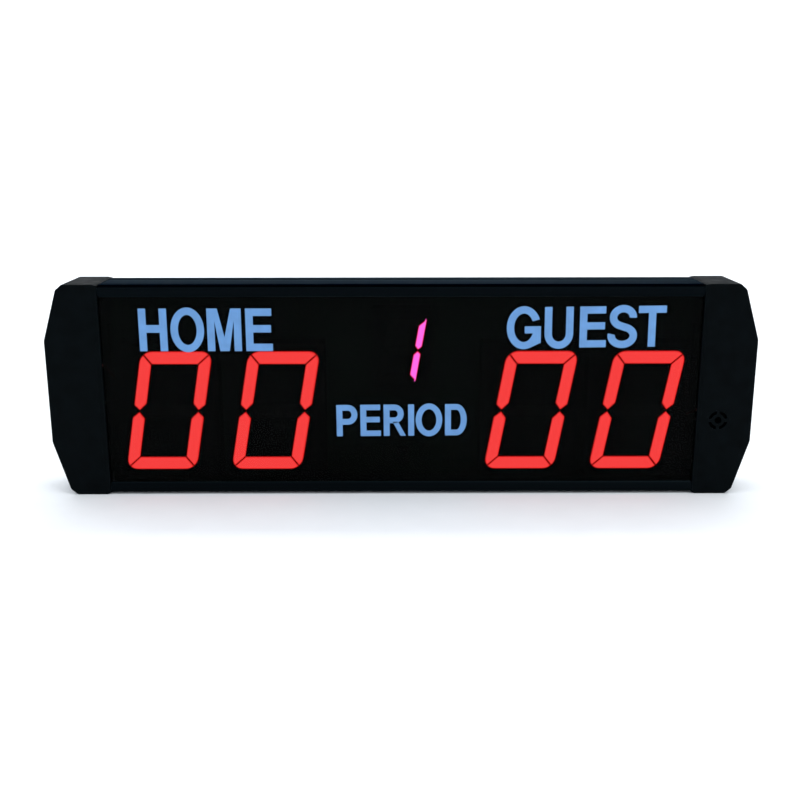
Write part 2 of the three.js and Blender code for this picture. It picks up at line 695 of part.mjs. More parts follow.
function jackNut() {
  const insideFloor = POCKET_FLOOR + CAP_WALL;
  const hexagon = rodAlongX(5.9, insideFloor + GAP, insideFloor + GAP + 2, 0, 0, 6);
  return cut(hexagon, rodAlongX(JACK.threadRadius + 0.15, insideFloor - 1, insideFloor + 4, 0, 0, 28));
}

const SWITCH_BEZEL_BACK = POCKET_FLOOR - GAP;
const SWITCH_FACE = SWITCH_BEZEL_BACK - SWITCH.bezel;
const SWITCH_BODY_END = -152.5;
const ROCKER_AXIS_X = SWITCH_FACE + 1.5;
const TERMINAL_Z = 3.7;

function switchHousing() {
  const bezel = box(
    [SWITCH_FACE, SWITCH_BEZEL_BACK],
    [-SWITCH.halfWidth, SWITCH.halfWidth],
    [-SWITCH.halfLength, SWITCH.halfLength],
  );
  const body = box(
    [SWITCH_FACE + 0.5, SWITCH_BODY_END],
    [-SWITCH.bodyHalfWidth, SWITCH.bodyHalfWidth],
    [-SWITCH.bodyHalfLength, SWITCH.bodyHalfLength],
  );
  const room = box([SWITCH_FACE - 1, SWITCH_FACE + 6], [-3.3, 3.3], [-5.6, 5.6]);
  const slots = [-TERMINAL_Z, TERMINAL_Z].map((z) => {
    return box([SWITCH_BODY_END - 3, SWITCH_BODY_END + 1], [-2.3, 2.3], [z - 0.6, z + 0.6]);
  });
  return cut(join(bezel, body), room, ...slots);
}

function switchTerminal(z) {
  const blade = box([SWITCH_BODY_END - 2.6, -147.5], [-2, 2], [z - 0.3, z + 0.3]);
  return cut(blade, rodAlongZ(0.6, -148.6, z));
}

function rodAlongZ(radius, x, z) {
  const geometry = new THREE.CylinderGeometry(radius, radius, 4, 12).rotateX(Math.PI / 2);
  return geometry.translate(x, 0, z);
}

// The rocker about its own axis, level. Its two faces fall towards the middle, and it is rounded
// below, so that it can tip without touching the housing.
function switchRocker() {
  const { halfLength, halfWidth, proud, dip } = ROCKER;
  const axisToFace = ROCKER_AXIS_X - SWITCH_FACE;
  const topEnd = -axisToFace - proud * 0.5;
  const shape = new THREE.Shape();
  shape.moveTo(topEnd + dip, 0);
  shape.lineTo(topEnd, halfLength - 0.4);
  shape.lineTo(topEnd + 0.5, halfLength);
  shape.lineTo(0.6, halfLength);
  shape.absarc(0.6, 0, 3, Math.PI / 2, -Math.PI / 2, true);
  shape.lineTo(0.6, -halfLength);
  shape.lineTo(topEnd + 0.5, -halfLength);
  shape.lineTo(topEnd, 0.4 - halfLength);
  return prismAlongY(shape, -halfWidth, halfWidth);
}

// ---------------------------------------------------------------- leads

const WIRE_RADIUS = 0.65;
const POWER_HEADER = { x: -121.7, z: -6 };
const BUZZER_HEADER = { x: 121.7, z: -20 };

function lead(points) {
  const route = new THREE.CatmullRomCurve3(points.map((point) => new THREE.Vector3(...point)));
  const section = discOutline(WIRE_RADIUS, 6);
  return new THREE.ExtrudeGeometry(section, { steps: 16, bevelEnabled: false, extrudePath: route });
}

// Each power lead ends at the plug with a straight run, one wire above the other.
const POWER_PLUG_END = POWER_HEADER.x - PLUG_END - GAP;
const BUZZER_PLUG_END = BUZZER_HEADER.x + PLUG_END + GAP;
const JACK_TO_SWITCH = [
  [-148.7, 0, JACK_Z],
  [-146.6, 0, JACK_Z + 1.2],
  [-145.4, -1, JACK_Z + 6],
  [-145.8, -0.6, SWITCH_Z - TERMINAL_Z - 1.5],
  [-147.2, 0, SWITCH_Z - TERMINAL_Z],
];
const SWITCH_TO_BOARD = [
  [-147.2, 0, SWITCH_Z + TERMINAL_Z],
  [-144.8, 1.2, SWITCH_Z + TERMINAL_Z - 0.6],
  [-142.8, 4.6, 6],
  [-139.4, PLUG_WIRE_Y, 0],
  [-134.5, PLUG_WIRE_Y, POWER_HEADER.z + WIRE_PITCH / 2 + 0.3],
  [POWER_PLUG_END, PLUG_WIRE_Y, POWER_HEADER.z + WIRE_PITCH / 2],
];
const JACK_TO_BOARD = [
  [-147.2, 3, JACK_Z],
  [-144.4, 4, JACK_Z],
  [-140.4, PLUG_WIRE_Y - 0.3, JACK_Z + 1],
  [-135, PLUG_WIRE_Y, POWER_HEADER.z - WIRE_PITCH / 2 - 0.1],
  [POWER_PLUG_END, PLUG_WIRE_Y, POWER_HEADER.z - WIRE_PITCH / 2],
];

function buzzerRoute(side) {
  const back = -HALF_DEPTH + CAP_WALL + BUZZER.height + 2 + 2 * GAP;
  const start = GRILLE.z + side * 3.2;
  const end = BUZZER_HEADER.z + (side * WIRE_PITCH) / 2;
  return [
    [GRILLE.x, back, start],
    [GRILLE.x - 0.3, back + 3.9, start - 0.3],
    [GRILLE.x - 3, back + 7.2, start + (end - start) * 0.3],
    [GRILLE.x - 8, PLUG_WIRE_Y, start + (end - start) * 0.7],
    [136, PLUG_WIRE_Y, end],
    [BUZZER_PLUG_END, PLUG_WIRE_Y, end],
  ];
}

// ---------------------------------------------------------------- finishes

function finish(color, roughness, metalness = 0) {
  return () => new THREE.MeshStandardMaterial({ color, roughness, metalness });
}

const BLACK_ANODISED = finish(0x0b0e11, 0.42, 0.6);
const TINTED_LENS = finish(0x07080a, 0.08);
const BLACK_TEXTURED = finish(0x0c1013, 0.6);
const BLACK_CASE = finish(0x060606, 0.55);
const LIT_RED = finish(0xf53c3a, 0.4);
const LIT_PINK = finish(0xf0487a, 0.4);
const ZINC = finish(0x2a2d31, 0.35, 0.9);
const BOARD_GREEN = finish(0x14401f, 0.5);
const CHIP_BLACK = finish(0x141414, 0.6);
const BRIGHT_METAL = finish(0xb8babd, 0.28, 1);
const BRASS = finish(0xb99a4e, 0.3, 1);
const WHITE_NYLON = finish(0xe6e2d6, 0.5);
const DARK_SLEEVE = finish(0x14202e, 0.35);
const FERRITE = finish(0x26282a, 0.7);
const RED_WIRE = finish(0x9c1512, 0.45);
const BLACK_WIRE = finish(0x0e0e0e, 0.45);
const SWITCH_BLACK = finish(0x0a0a0b, 0.35);

// ---------------------------------------------------------------- assembly

const display = new THREE.Group();
const atMiddleHeight = new THREE.Group();
atMiddleHeight.position.z = HALF_HEIGHT;
display.add(atMiddleHeight);

function place(name, geometry, material, x = 0, y = 0, z = 0) {
  const mesh = new THREE.Mesh(geometry, material());
  mesh.name = name;
  mesh.position.set(x, y, z);
  atMiddleHeight.add(mesh);
  return mesh;
}

place("body_extrusion", bodyExtrusion(), BLACK_ANODISED);
place("front_lens", frontLens(), TINTED_LENS);
place("left_end_cap", leftEndCap(), BLACK_TEXTURED);
place("right_end_cap", rightEndCap(), BLACK_TEXTURED);

SCREW_PLACES.forEach(([y, z], i) => {
  place("right_cap_screw_" + (i + 1), capScrew(), ZINC, SCREW_SEAT, y, z);
  const left = place("left_cap_screw_" + (i + 1), capScrew(), ZINC, -SCREW_SEAT, y, z);
  left.rotation.z = Math.PI;
});

const SCORE_DIGITS = [
  ["home_tens", -SCORE_X.outer],
  ["home_units", -SCORE_X.inner],
  ["guest_tens", SCORE_X.inner],
  ["guest_units", SCORE_X.outer],
];
SCORE_DIGITS.forEach(([name, x]) => {
  place(name + "_digit_case", digitCase(SCORE_DIGIT), BLACK_CASE, DISPLAY_MIDDLE + x, 0, SCORE_Z);
  place(name + "_segments", digitSegments(SCORE_DIGIT), LIT_RED, DISPLAY_MIDDLE + x, 0, SCORE_Z);
});
place("period_digit_case", digitCase(PERIOD_DIGIT), BLACK_CASE, PERIOD_PLACE.x, 0, PERIOD_PLACE.z);
place("period_segments", digitSegments(PERIOD_DIGIT), LIT_PINK, PERIOD_PLACE.x, 0, PERIOD_PLACE.z);

const BOARD_EDGE_X = [-BOARD_HALF_LENGTH, BOARD_HALF_LENGTH];
const BOARD_EDGE_Z = [-BOARD_HALF_HEIGHT, BOARD_HALF_HEIGHT];
place("main_board", box(BOARD_EDGE_X, [BOARD_FRONT, BOARD_BACK], BOARD_EDGE_Z), BOARD_GREEN);
place("microcontroller", chip(17.9, 7.5, 2.3, 14, 1.27), CHIP_BLACK, -6, 0, 8);
place("home_led_driver", chip(9.9, 3.9, 1.7, 8, 1.27), CHIP_BLACK, -86, 0, -4);
place("guest_led_driver", chip(9.9, 3.9, 1.7, 8, 1.27), CHIP_BLACK, 88, 0, -4);
place("period_led_driver", chip(9.9, 3.9, 1.7, 8, 1.27), CHIP_BLACK, 24, 0, 26);
place("clock_crystal", crystalCan(), BRIGHT_METAL, -6, 0, -6);
place("backup_battery_holder", batteryHolder(), CHIP_BLACK, 42, 0, -14);
place("backup_battery", coinCell(), BRIGHT_METAL, 42, 0, -14);
place("filter_capacitor", filterCapacitor(), DARK_SLEEVE, -62, 0, -26);
place("power_inductor", powerInductor(), FERRITE, -78, 0, -26);
place("voltage_regulator", voltageRegulator(), CHIP_BLACK, -92, 0, -26);
place("power_diode", powerDiode(), CHIP_BLACK, -106, 0, -26);
place("infrared_receiver", infraredReceiver(), CHIP_BLACK, DISPLAY_MIDDLE, 0, -34);

const powerHeader = place("power_header", boardHeader(), WHITE_NYLON, POWER_HEADER.x, 0, POWER_HEADER.z);
const powerPlug = place("power_plug", wirePlug(), WHITE_NYLON, POWER_HEADER.x, 0, POWER_HEADER.z);
powerHeader.scale.x = -1; // the left connector faces the left end
powerPlug.scale.x = -1;
place("buzzer_header", boardHeader(), WHITE_NYLON, BUZZER_HEADER.x, 0, BUZZER_HEADER.z);
place("buzzer_plug", wirePlug(), WHITE_NYLON, BUZZER_HEADER.x, 0, BUZZER_HEADER.z);

place("buzzer", buzzerBody(), CHIP_BLACK, GRILLE.x, 0, GRILLE.z);
place("power_jack", jackBody(), SWITCH_BLACK, 0, 0, JACK_Z);
place("power_jack_pin", jackPin(), BRASS, 0, 0, JACK_Z);
place("power_jack_nut", jackNut(), BRIGHT_METAL, 0, 0, JACK_Z);

place("switch_housing", switchHousing(), SWITCH_BLACK, 0, 0, SWITCH_Z);
place("switch_terminal_1", switchTerminal(-TERMINAL_Z), BRASS, 0, 0, SWITCH_Z);
place("switch_terminal_2", switchTerminal(TERMINAL_Z), BRASS, 0, 0, SWITCH_Z);
const rocker = place("switch_rocker", switchRocker(), SWITCH_BLACK, ROCKER_AXIS_X, 0, SWITCH_Z);
rocker.rotation.y = THREE.MathUtils.degToRad(ROCKER.tiltDegrees);

place("jack_to_switch_lead", lead(JACK_TO_SWITCH), RED_WIRE);
place("switch_to_board_lead", lead(SWITCH_TO_BOARD), RED_WIRE);
place("jack_to_board_lead", lead(JACK_TO_BOARD), BLACK_WIRE);
place("buzzer_lead_red", lead(buzzerRoute(1)), RED_WIRE);
place("buzzer_lead_black", lead(buzzerRoute(-1)), BLACK_WIRE);

export default display;
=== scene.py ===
"""A wall-hung LED score display: anodised channel, tinted lens, moulded end caps, lit digits."""
from math import atan2, degrees, pi, radians, tan

import bpy
from mathutils import Matrix, Vector


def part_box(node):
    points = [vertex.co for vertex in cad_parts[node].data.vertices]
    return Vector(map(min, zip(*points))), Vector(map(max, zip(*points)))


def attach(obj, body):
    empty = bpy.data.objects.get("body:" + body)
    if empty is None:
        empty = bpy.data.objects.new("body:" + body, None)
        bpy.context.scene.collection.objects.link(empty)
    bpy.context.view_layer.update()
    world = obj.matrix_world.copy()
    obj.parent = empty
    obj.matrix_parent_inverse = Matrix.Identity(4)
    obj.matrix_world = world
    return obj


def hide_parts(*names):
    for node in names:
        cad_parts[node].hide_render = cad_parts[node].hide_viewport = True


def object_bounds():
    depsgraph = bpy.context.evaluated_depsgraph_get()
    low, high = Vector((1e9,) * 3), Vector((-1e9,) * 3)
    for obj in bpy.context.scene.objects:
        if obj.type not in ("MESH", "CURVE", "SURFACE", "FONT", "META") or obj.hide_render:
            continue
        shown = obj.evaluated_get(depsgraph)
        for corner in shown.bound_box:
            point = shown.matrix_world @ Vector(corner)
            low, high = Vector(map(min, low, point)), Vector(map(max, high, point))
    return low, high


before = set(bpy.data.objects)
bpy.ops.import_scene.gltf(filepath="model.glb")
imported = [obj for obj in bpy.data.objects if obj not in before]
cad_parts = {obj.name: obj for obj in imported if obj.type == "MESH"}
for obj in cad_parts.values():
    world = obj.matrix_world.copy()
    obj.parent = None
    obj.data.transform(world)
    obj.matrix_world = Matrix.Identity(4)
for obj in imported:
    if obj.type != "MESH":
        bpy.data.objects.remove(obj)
cad_low, cad_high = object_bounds()

MM = 0.001
NEAR = 0.01 * MM  # points closer than this are taken as the same
MIDDLE_Z = (cad_low.z + cad_high.z) / 2

# ------------------------------------------------------------------ camera, floor and lights

CAMERA_FOCAL_MM = 46.33
CAMERA_TARGET = Vector((-0.63 * MM, cad_low.y, MIDDLE_Z - 3.94 * MM))
CAMERA_DISTANCE = 0.4875
CAMERA_PITCH = 14.26
CAMERA_YAW = -0.10
CAMERA_ROLL = -0.07
SHEET = {"width": 30, "depth": 7, "middle_y": -0.5, "rise": 5, "sweep": 1.8}


def add_camera():
    turn = Matrix.Rotation(radians(CAMERA_YAW), 4, "Z") @ Matrix.Rotation(radians(90 - CAMERA_PITCH), 4, "X")
    turn = turn @ Matrix.Rotation(radians(CAMERA_ROLL), 4, "Z")
    bpy.ops.object.camera_add()
    camera = bpy.context.object
    camera.data.lens = CAMERA_FOCAL_MM
    camera.matrix_world = Matrix.Translation(CAMERA_TARGET) @ turn @ Matrix.Translation((0, 0, CAMERA_DISTANCE))
    camera.data.clip_start = 0.01
    bpy.context.scene.camera = camera


def add_area_light(name, place, aim, size, power):
    bpy.ops.object.light_add(type="AREA", location=place)
    light = bpy.context.object
    light.name = name
    light.data.shape = "RECTANGLE"
    light.data.size, light.data.size_y = size
    light.data.energy = power
    light.rotation_euler = (Vector(aim) - Vector(place)).to_track_quat("-Z", "Y").to_euler()


def add_studio():
    """A pale sheet that runs back and sweeps up behind, under one broad overhead light."""
    clear_selection()
    bpy.ops.mesh.primitive_plane_add(size=1, location=(0, SHEET["middle_y"], cad_low.z))
    bpy.context.object.scale = (SHEET["width"], SHEET["depth"], 1)
    sheet = settle()
    sheet.name = "backdrop_sheet"
    far = SHEET["middle_y"] + SHEET["depth"] / 2 - 0.1
    pick(sheet, "edges", lambda ends: all(p.y > far for p in ends))
    bpy.ops.mesh.extrude_edges_move(TRANSFORM_OT_translate={"value": (0, 0, SHEET["rise"])})
    bpy.ops.object.mode_set(mode="OBJECT")
    round_edges(sheet, SHEET["sweep"], 24, lambda ends: all(p.y > far and p.z < 1 for p in ends))
    bpy.ops.object.shade_smooth()
    sheet.data.materials.append(plain_paper())
    add_area_light("overhead", (0, 0.1, 2.4), (0, 0.1, 0), (3.2, 3.2), 34)
    add_area_light("behind", (0, 1.4, 2.6), (0, 3.2, 0.4), (4.0, 1.0), 60)
    add_area_light("front_right", (1.5, -1.3, 1.0), (0, 0, 0.05), (0.9, 0.9), 10)
    world = bpy.data.worlds.new("pale_studio")
    bpy.context.scene.world = world
    world.use_nodes = True
    background = world.node_tree.nodes["Background"]
    background.inputs["Color"].default_value = (0.88, 0.95, 1.0, 1)
    background.inputs["Strength"].default_value = 0.95
    bpy.context.scene.view_settings.view_transform = "Standard"


# ------------------------------------------------------------------ finishes

def new_finish(name):
    material = bpy.data.materials.new(name)
    material.use_nodes = True
    nodes = material.node_tree.nodes
    return material, nodes, material.node_tree.links, nodes["Principled BSDF"]


def noise(nodes, links, coordinates, scale, detail=3.0, stretch=(1, 1, 1)):
    """Noise in the piece's own space; a long stretch draws it out along that axis."""
    mapping = nodes.new("ShaderNodeMapping")
    mapping.inputs["Scale"].default_value = tuple(1 / s for s in stretch)
    links.new(coordinates, mapping.inputs["Vector"])
    texture = nodes.new("ShaderNodeTexNoise")
    texture.inputs["Scale"].default_value = scale
    texture.inputs["Detail"].default_value = detail
    links.new(mapping.outputs["Vector"], texture.inputs["Vector"])
    return texture.outputs["Fac"]


def spread(nodes, links, source, low, high, from_low=0.3, from_high=0.7):
    """Maps a noise onto a range of values."""
    ranged = nodes.new("ShaderNodeMapRange")
    ranged.inputs["From Min"].default_value = from_low
    ranged.inputs["From Max"].default_value = from_high
    ranged.inputs["To Min"].default_value = low
    ranged.inputs["To Max"].default_value = high
    links.new(source, ranged.inputs["Value"])
    return ranged.outputs["Result"]


def two_tone(nodes, links, factor, colour_a, colour_b):
    mix = nodes.new("ShaderNodeMix")
    mix.data_type = "RGBA"
    links.new(factor, mix.inputs["Factor"])
    for key, colour in (("A", colour_a), ("B", colour_b)):
        socket = next(s for s in mix.inputs if s.name == key and s.type == "RGBA")
        if isinstance(colour, tuple):
            socket.default_value = (*colour, 1)
        else:
            links.new(colour, socket)
    return next(s for s in mix.outputs if s.type == "RGBA")


def worked_surface(name, colour, roughness, *, tone=0.2, tone_scale=60, grain=1800, bump=0.2,
                   relief=0.02, rough_spread=0.08, stretch=(1, 1, 1), edge=None, metallic=0.0,
                   specular=0.5, more=None):
    """A moulded, rolled or plated surface: broad tone, fine grain, uneven gloss, and a lighter edge colour that is
    a painted highlight along the edges, patchy like wear.
    """
    material, nodes, links, shader = new_finish(name)
    place = nodes.new("ShaderNodeTexCoord").outputs["Object"]
    broad = noise(nodes, links, place, tone_scale, 4.0, stretch)
    fine = noise(nodes, links, place, grain, 2.0, stretch)
    darker = tuple(c * (1 - tone) for c in colour)
    lighter = tuple(min(1.0, c * (1 + tone)) for c in colour)
    paint = two_tone(nodes, links, spread(nodes, links, broad, 0, 1), darker, lighter)
    # edge: a lighter colour painted along the edges, a painted highlight that is also meant as wear
    if edge:
        paint = two_tone(nodes, links, edge_highlight_and_wear(nodes, links, broad), paint, edge)
    links.new(paint, shader.inputs["Base Color"])
    low, high = roughness - rough_spread, roughness + rough_spread
    links.new(spread(nodes, links, broad, low, high), shader.inputs["Roughness"])
    raised = nodes.new("ShaderNodeBump")
    raised.inputs["Strength"].default_value = bump
    raised.inputs["Distance"].default_value = relief * MM
    links.new(fine, raised.inputs["Height"])
    links.new(raised.outputs["Normal"], shader.inputs["Normal"])
    shader.inputs["Metallic"].default_value = metallic
    shader.inputs["Specular IOR Level"].default_value = specular
    for socket, value in (more or {}).items():
        shader.inputs[socket].default_value = value
    return material


def edge_highlight_and_wear(nodes, links, patches):
    """High where a rounded-off normal leaves the true one, which is only along an edge; patchy as wear is. It
    masks the painted edge highlight, which also stands for wear.
    """
    eased = nodes.new("ShaderNodeBevel")
    eased.samples = 6
    eased.inputs["Radius"].default_value = 0.35 * MM
    alike = nodes.new("ShaderNodeVectorMath")
    alike.operation = "DOT_PRODUCT"
    links.new(eased.outputs["Normal"], alike.inputs[0])
    links.new(nodes.new("ShaderNodeNewGeometry").outputs["Normal"], alike.inputs[1])
    along_edge = spread(nodes, links, alike.outputs["Value"], 0, 1, 0.995, 0.93)
    patchy = nodes.new("ShaderNodeMath")
    patchy.operation = "MULTIPLY"
    links.new(along_edge, patchy.inputs[0])
    links.new(spread(nodes, links, patches, 0.25, 0.9), patchy.inputs[1])
    return patchy.outputs["Value"]


def plain_paper():
    return worked_surface("floor_paper", (0.83, 0.84, 0.86), 0.9, tone=0.01, grain=300, bump=0.02, specular=0.1)


def anodised_black():
    """Dyed anodising over bare metal, with fine die lines along the channel."""
    # edge: lighter blue-grey painted along the edges, a painted highlight that is also meant as wear
    return worked_surface("anodised_black", (0.0024, 0.0037, 0.0047), 0.38, tone=0.25, tone_scale=90, grain=1500,
                          bump=0.35, relief=0.012, stretch=(60, 1, 1), edge=(0.010, 0.018, 0.023), metallic=1.0,
                          more={"Specular Tint": (0.07, 0.15, 0.21, 1)})


def spark_textured_black():
    """Moulded caps, with the fine pitting of a spark-eroded mould."""
    # edge: lighter grey painted along the edges, a painted highlight that is also meant as wear
    return worked_surface("spark_textured_black", (0.0014, 0.0024, 0.0030), 0.6, tone=0.3, tone_scale=140,
                          grain=2600, bump=0.55, relief=0.03, edge=(0.006, 0.010, 0.012), specular=0.02)


LENS_ALPHA = 0.65
GLOW = 1 / (1 - LENS_ALPHA) ** 2


def tinted_acrylic():
    """A dark sheet: each of its two faces holds back about two thirds of the light."""
    return worked_surface("tinted_acrylic", (0.0006, 0.0009, 0.0009), 0.12, tone=0.4, tone_scale=25, grain=60,
                          bump=0.002, relief=0.001, rough_spread=0.02, specular=0.03, more={"Alpha": LENS_ALPHA})


def printed_blue():
    return worked_surface("printed_blue", (0.130, 0.282, 0.550), 0.5, tone=0.09, tone_scale=160, grain=2200,
                          bump=0.15, relief=0.01, specular=0.15)


def lit_resin(name, glow, strength, colour):
    return worked_surface(name, colour, 0.4, tone=0.15, tone_scale=300, grain=1600, bump=0.2, relief=0.01,
                          specular=0.2, more={"Emission Color": (*glow, 1), "Emission Strength": strength})


def unlit_resin():
    return worked_surface("unlit_resin", (0.012, 0.010, 0.010), 0.45, grain=1500, specular=0.15)


def black_case():
    return worked_surface("black_case", (0.002, 0.002, 0.002), 0.6, tone=0.3, grain=1700, bump=0.3, specular=0.04)


# ------------------------------------------------------------------ bench tools

def clear_selection():
    bpy.ops.object.select_all(action="DESELECT")


def settle():
    """Gives the new piece its place in its mesh and leaves the object at the origin."""
    bpy.ops.object.transform_apply(location=True, rotation=True, scale=True)
    return bpy.context.object


def block(name, low, high):
    low, high = Vector(low), Vector(high)
    clear_selection()
    bpy.ops.mesh.primitive_cube_add(size=1, location=(low + high) / 2, scale=high - low)
    bpy.context.object.name = name
    return settle()


TURNS = {"X": (0, pi / 2, 0), "Y": (-pi / 2, 0, 0), "Z": (0, 0, 0)}


def rod(name, radius, start, length, axis, sides=48, far_radius=None):
    """A round bar or cone from start, along +axis."""
    middle = Vector(start)
    middle["XYZ".index(axis)] += length / 2
    clear_selection()
    bpy.ops.mesh.primitive_cone_add(vertices=sides, radius1=radius, depth=length, location=middle,
                                    radius2=radius if far_radius is None else far_radius, rotation=TURNS[axis])
    bpy.context.object.name = name
    return settle()


def work_on(piece):
    clear_selection()
    bpy.context.view_layer.objects.active = piece
    piece.select_set(True)


def boolean(piece, tool, operation):
    work_on(piece)
    cutter = piece.modifiers.new("bench", "BOOLEAN")
    cutter.operation, cutter.solver, cutter.object = operation, "EXACT", tool
    bpy.ops.object.modifier_apply(modifier=cutter.name)
    bpy.data.objects.remove(tool)
    return piece


def cut(piece, *tools):
    for tool in tools:
        boolean(piece, tool, "DIFFERENCE")
    return piece


def fuse(piece, *parts):
    for part in parts:
        boolean(piece, part, "UNION")
    return piece


def slice_off(piece, point, outward):
    """Cuts away what lies past a plane and closes the cut."""
    work_on(piece)
    bpy.ops.object.mode_set(mode="EDIT")
    bpy.ops.mesh.select_all(action="SELECT")
    bpy.ops.mesh.bisect(plane_co=point, plane_no=outward, use_fill=True, clear_outer=True)
    bpy.ops.object.mode_set(mode="OBJECT")
    return piece


def pick(piece, kind, test):
    """Selects the faces, edges or corners whose points pass the test, and stays in edit mode."""
    work_on(piece)
    bpy.ops.object.mode_set(mode="EDIT")
    bpy.ops.mesh.select_mode(type={"faces": "FACE", "edges": "EDGE", "corners": "VERT"}[kind])
    bpy.ops.mesh.select_all(action="DESELECT")
    bpy.ops.object.mode_set(mode="OBJECT")
    mesh = piece.data
    if kind == "corners":
        for corner in mesh.vertices:
            corner.select = test([corner.co])
    else:
        for part in mesh.polygons if kind == "faces" else mesh.edges:
            part.select = test([mesh.vertices[i].co for i in part.vertices])
    bpy.ops.object.mode_set(mode="EDIT")


def round_edges(piece, width, segments, test):
    pick(piece, "edges", test)
    bpy.ops.mesh.bevel(offset=width, segments=segments, affect="EDGES", profile=0.5)
    bpy.ops.object.mode_set(mode="OBJECT")
    return piece


def soften(piece, width, segments=2, angle=35):
    """Breaks every sharp edge and smooths what is round."""
    work_on(piece)
    bevel = piece.modifiers.new("soften", "BEVEL")
    bevel.width, bevel.segments = width, segments
    bevel.limit_method, bevel.angle_limit = "ANGLE", radians(angle)
    bevel.harden_normals = False
    bpy.ops.object.modifier_apply(modifier=bevel.name)
    return smooth(piece)


def smooth(piece):
    """Round parts shade round and broad faces stay flat."""
    work_on(piece)
    bpy.ops.object.shade_smooth_by_angle(angle=radians(40))
    flat = piece.modifiers.new("flat_faces", "WEIGHTED_NORMAL")
    flat.keep_sharp, flat.weight = True, 100
    bpy.ops.object.modifier_apply(modifier=flat.name)
    return piece


def copy_of(piece, name):
    work_on(piece)
    bpy.ops.object.duplicate()
    bpy.context.object.name = name
    return bpy.context.object


def turned_over(piece, axis, about):
    """Mirrors a piece in the plane through about, and turns its faces outwards again."""
    flip = Matrix.Scale(-1, 4, Vector(tuple(float(axis == a) for a in "XYZ")))
    centre = Matrix.Translation(about)
    piece.data.transform(centre @ flip @ centre.inverted())
    work_on(piece)
    bpy.ops.object.mode_set(mode="EDIT")
    bpy.ops.mesh.select_all(action="SELECT")
    bpy.ops.mesh.flip_normals()
    bpy.ops.object.mode_set(mode="OBJECT")
    return piece


def finished(piece, finish, slot, *nodes, body="display"):
    if finish is not None:
        piece.data.materials.clear()
        piece.data.materials.append(finish)
    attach(piece, body)
    if nodes:
        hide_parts(*nodes)
    return piece


# ------------------------------------------------------------------ end caps

CAP_WALL = 2 * MM
CAP_BEVEL = 0.5 * MM
CAP_BEVEL_RUN = 2.1 * MM
CAP_CORNER_IN = {"top": 10.2 * MM, "shoulder": 7.1 * MM}
CAP_CORNER_DOWN = {"shoulder": 2.6 * MM, "side": 26.4 * MM}
CAP_ROUND = 0.8 * MM
WELL_RADIUS = 3.2 * MM
WELL_FLOOR = 3.5 * MM
GRILLE = {"x": 16.2 * MM, "z": 36.8 * MM, "hole": 1.75 * MM, "inner": 3 * MM, "outer": 4.6 * MM, "rib": 1.4 * MM}


def cap_blank(name, shrink):
    """The right cap's outer form, every side moved in by shrink, and closed past its mouth."""
    low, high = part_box("right_end_cap")
    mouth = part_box("body_extrusion")[1].x + 0.3 * MM
    blank = block(name, (mouth - 9 * MM, low.y + shrink, low.z + shrink), high - Vector((shrink,) * 3))
    top_in = Vector((high.x - CAP_CORNER_IN["top"], 0, high.z - MIDDLE_Z))
    shoulder = Vector((high.x - CAP_CORNER_IN["shoulder"], 0, high.z - CAP_CORNER_DOWN["shoulder"] - MIDDLE_Z))
    side = Vector((high.x, 0, high.z - CAP_CORNER_DOWN["side"] - MIDDLE_Z))
    for start, end in ((top_in, shoulder), (shoulder, side)):
        run = end - start
        outward = Vector((-run.z, 0, run.x)).normalized()
        for way in (1, -1):
            normal = Vector((outward.x, 0, outward.z * way))
            point = Vector((start.x, 0, MIDDLE_Z + start.z * way)) - normal * shrink
            slice_off(blank, point, normal)
    if not shrink:
        slope = Vector((-CAP_BEVEL, 0, CAP_BEVEL_RUN)).normalized()
        ramp_end = mouth + CAP_BEVEL_RUN
        slice_off(blank, (ramp_end, 0, high.z), slope)
        slice_off(blank, (ramp_end, 0, low.z), (slope.x, 0, -slope.z))
        slice_off(blank, (ramp_end, low.y, 0), (slope.x, -slope.z, 0))
    return blank


def screw_places():
    """Where the four cap screws stand, as (y, z)."""
    boxes = [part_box("right_cap_screw_%d" % number) for number in range(1, 5)]
    return [((low.y + high.y) / 2, (low.z + high.z) / 2) for low, high in boxes]


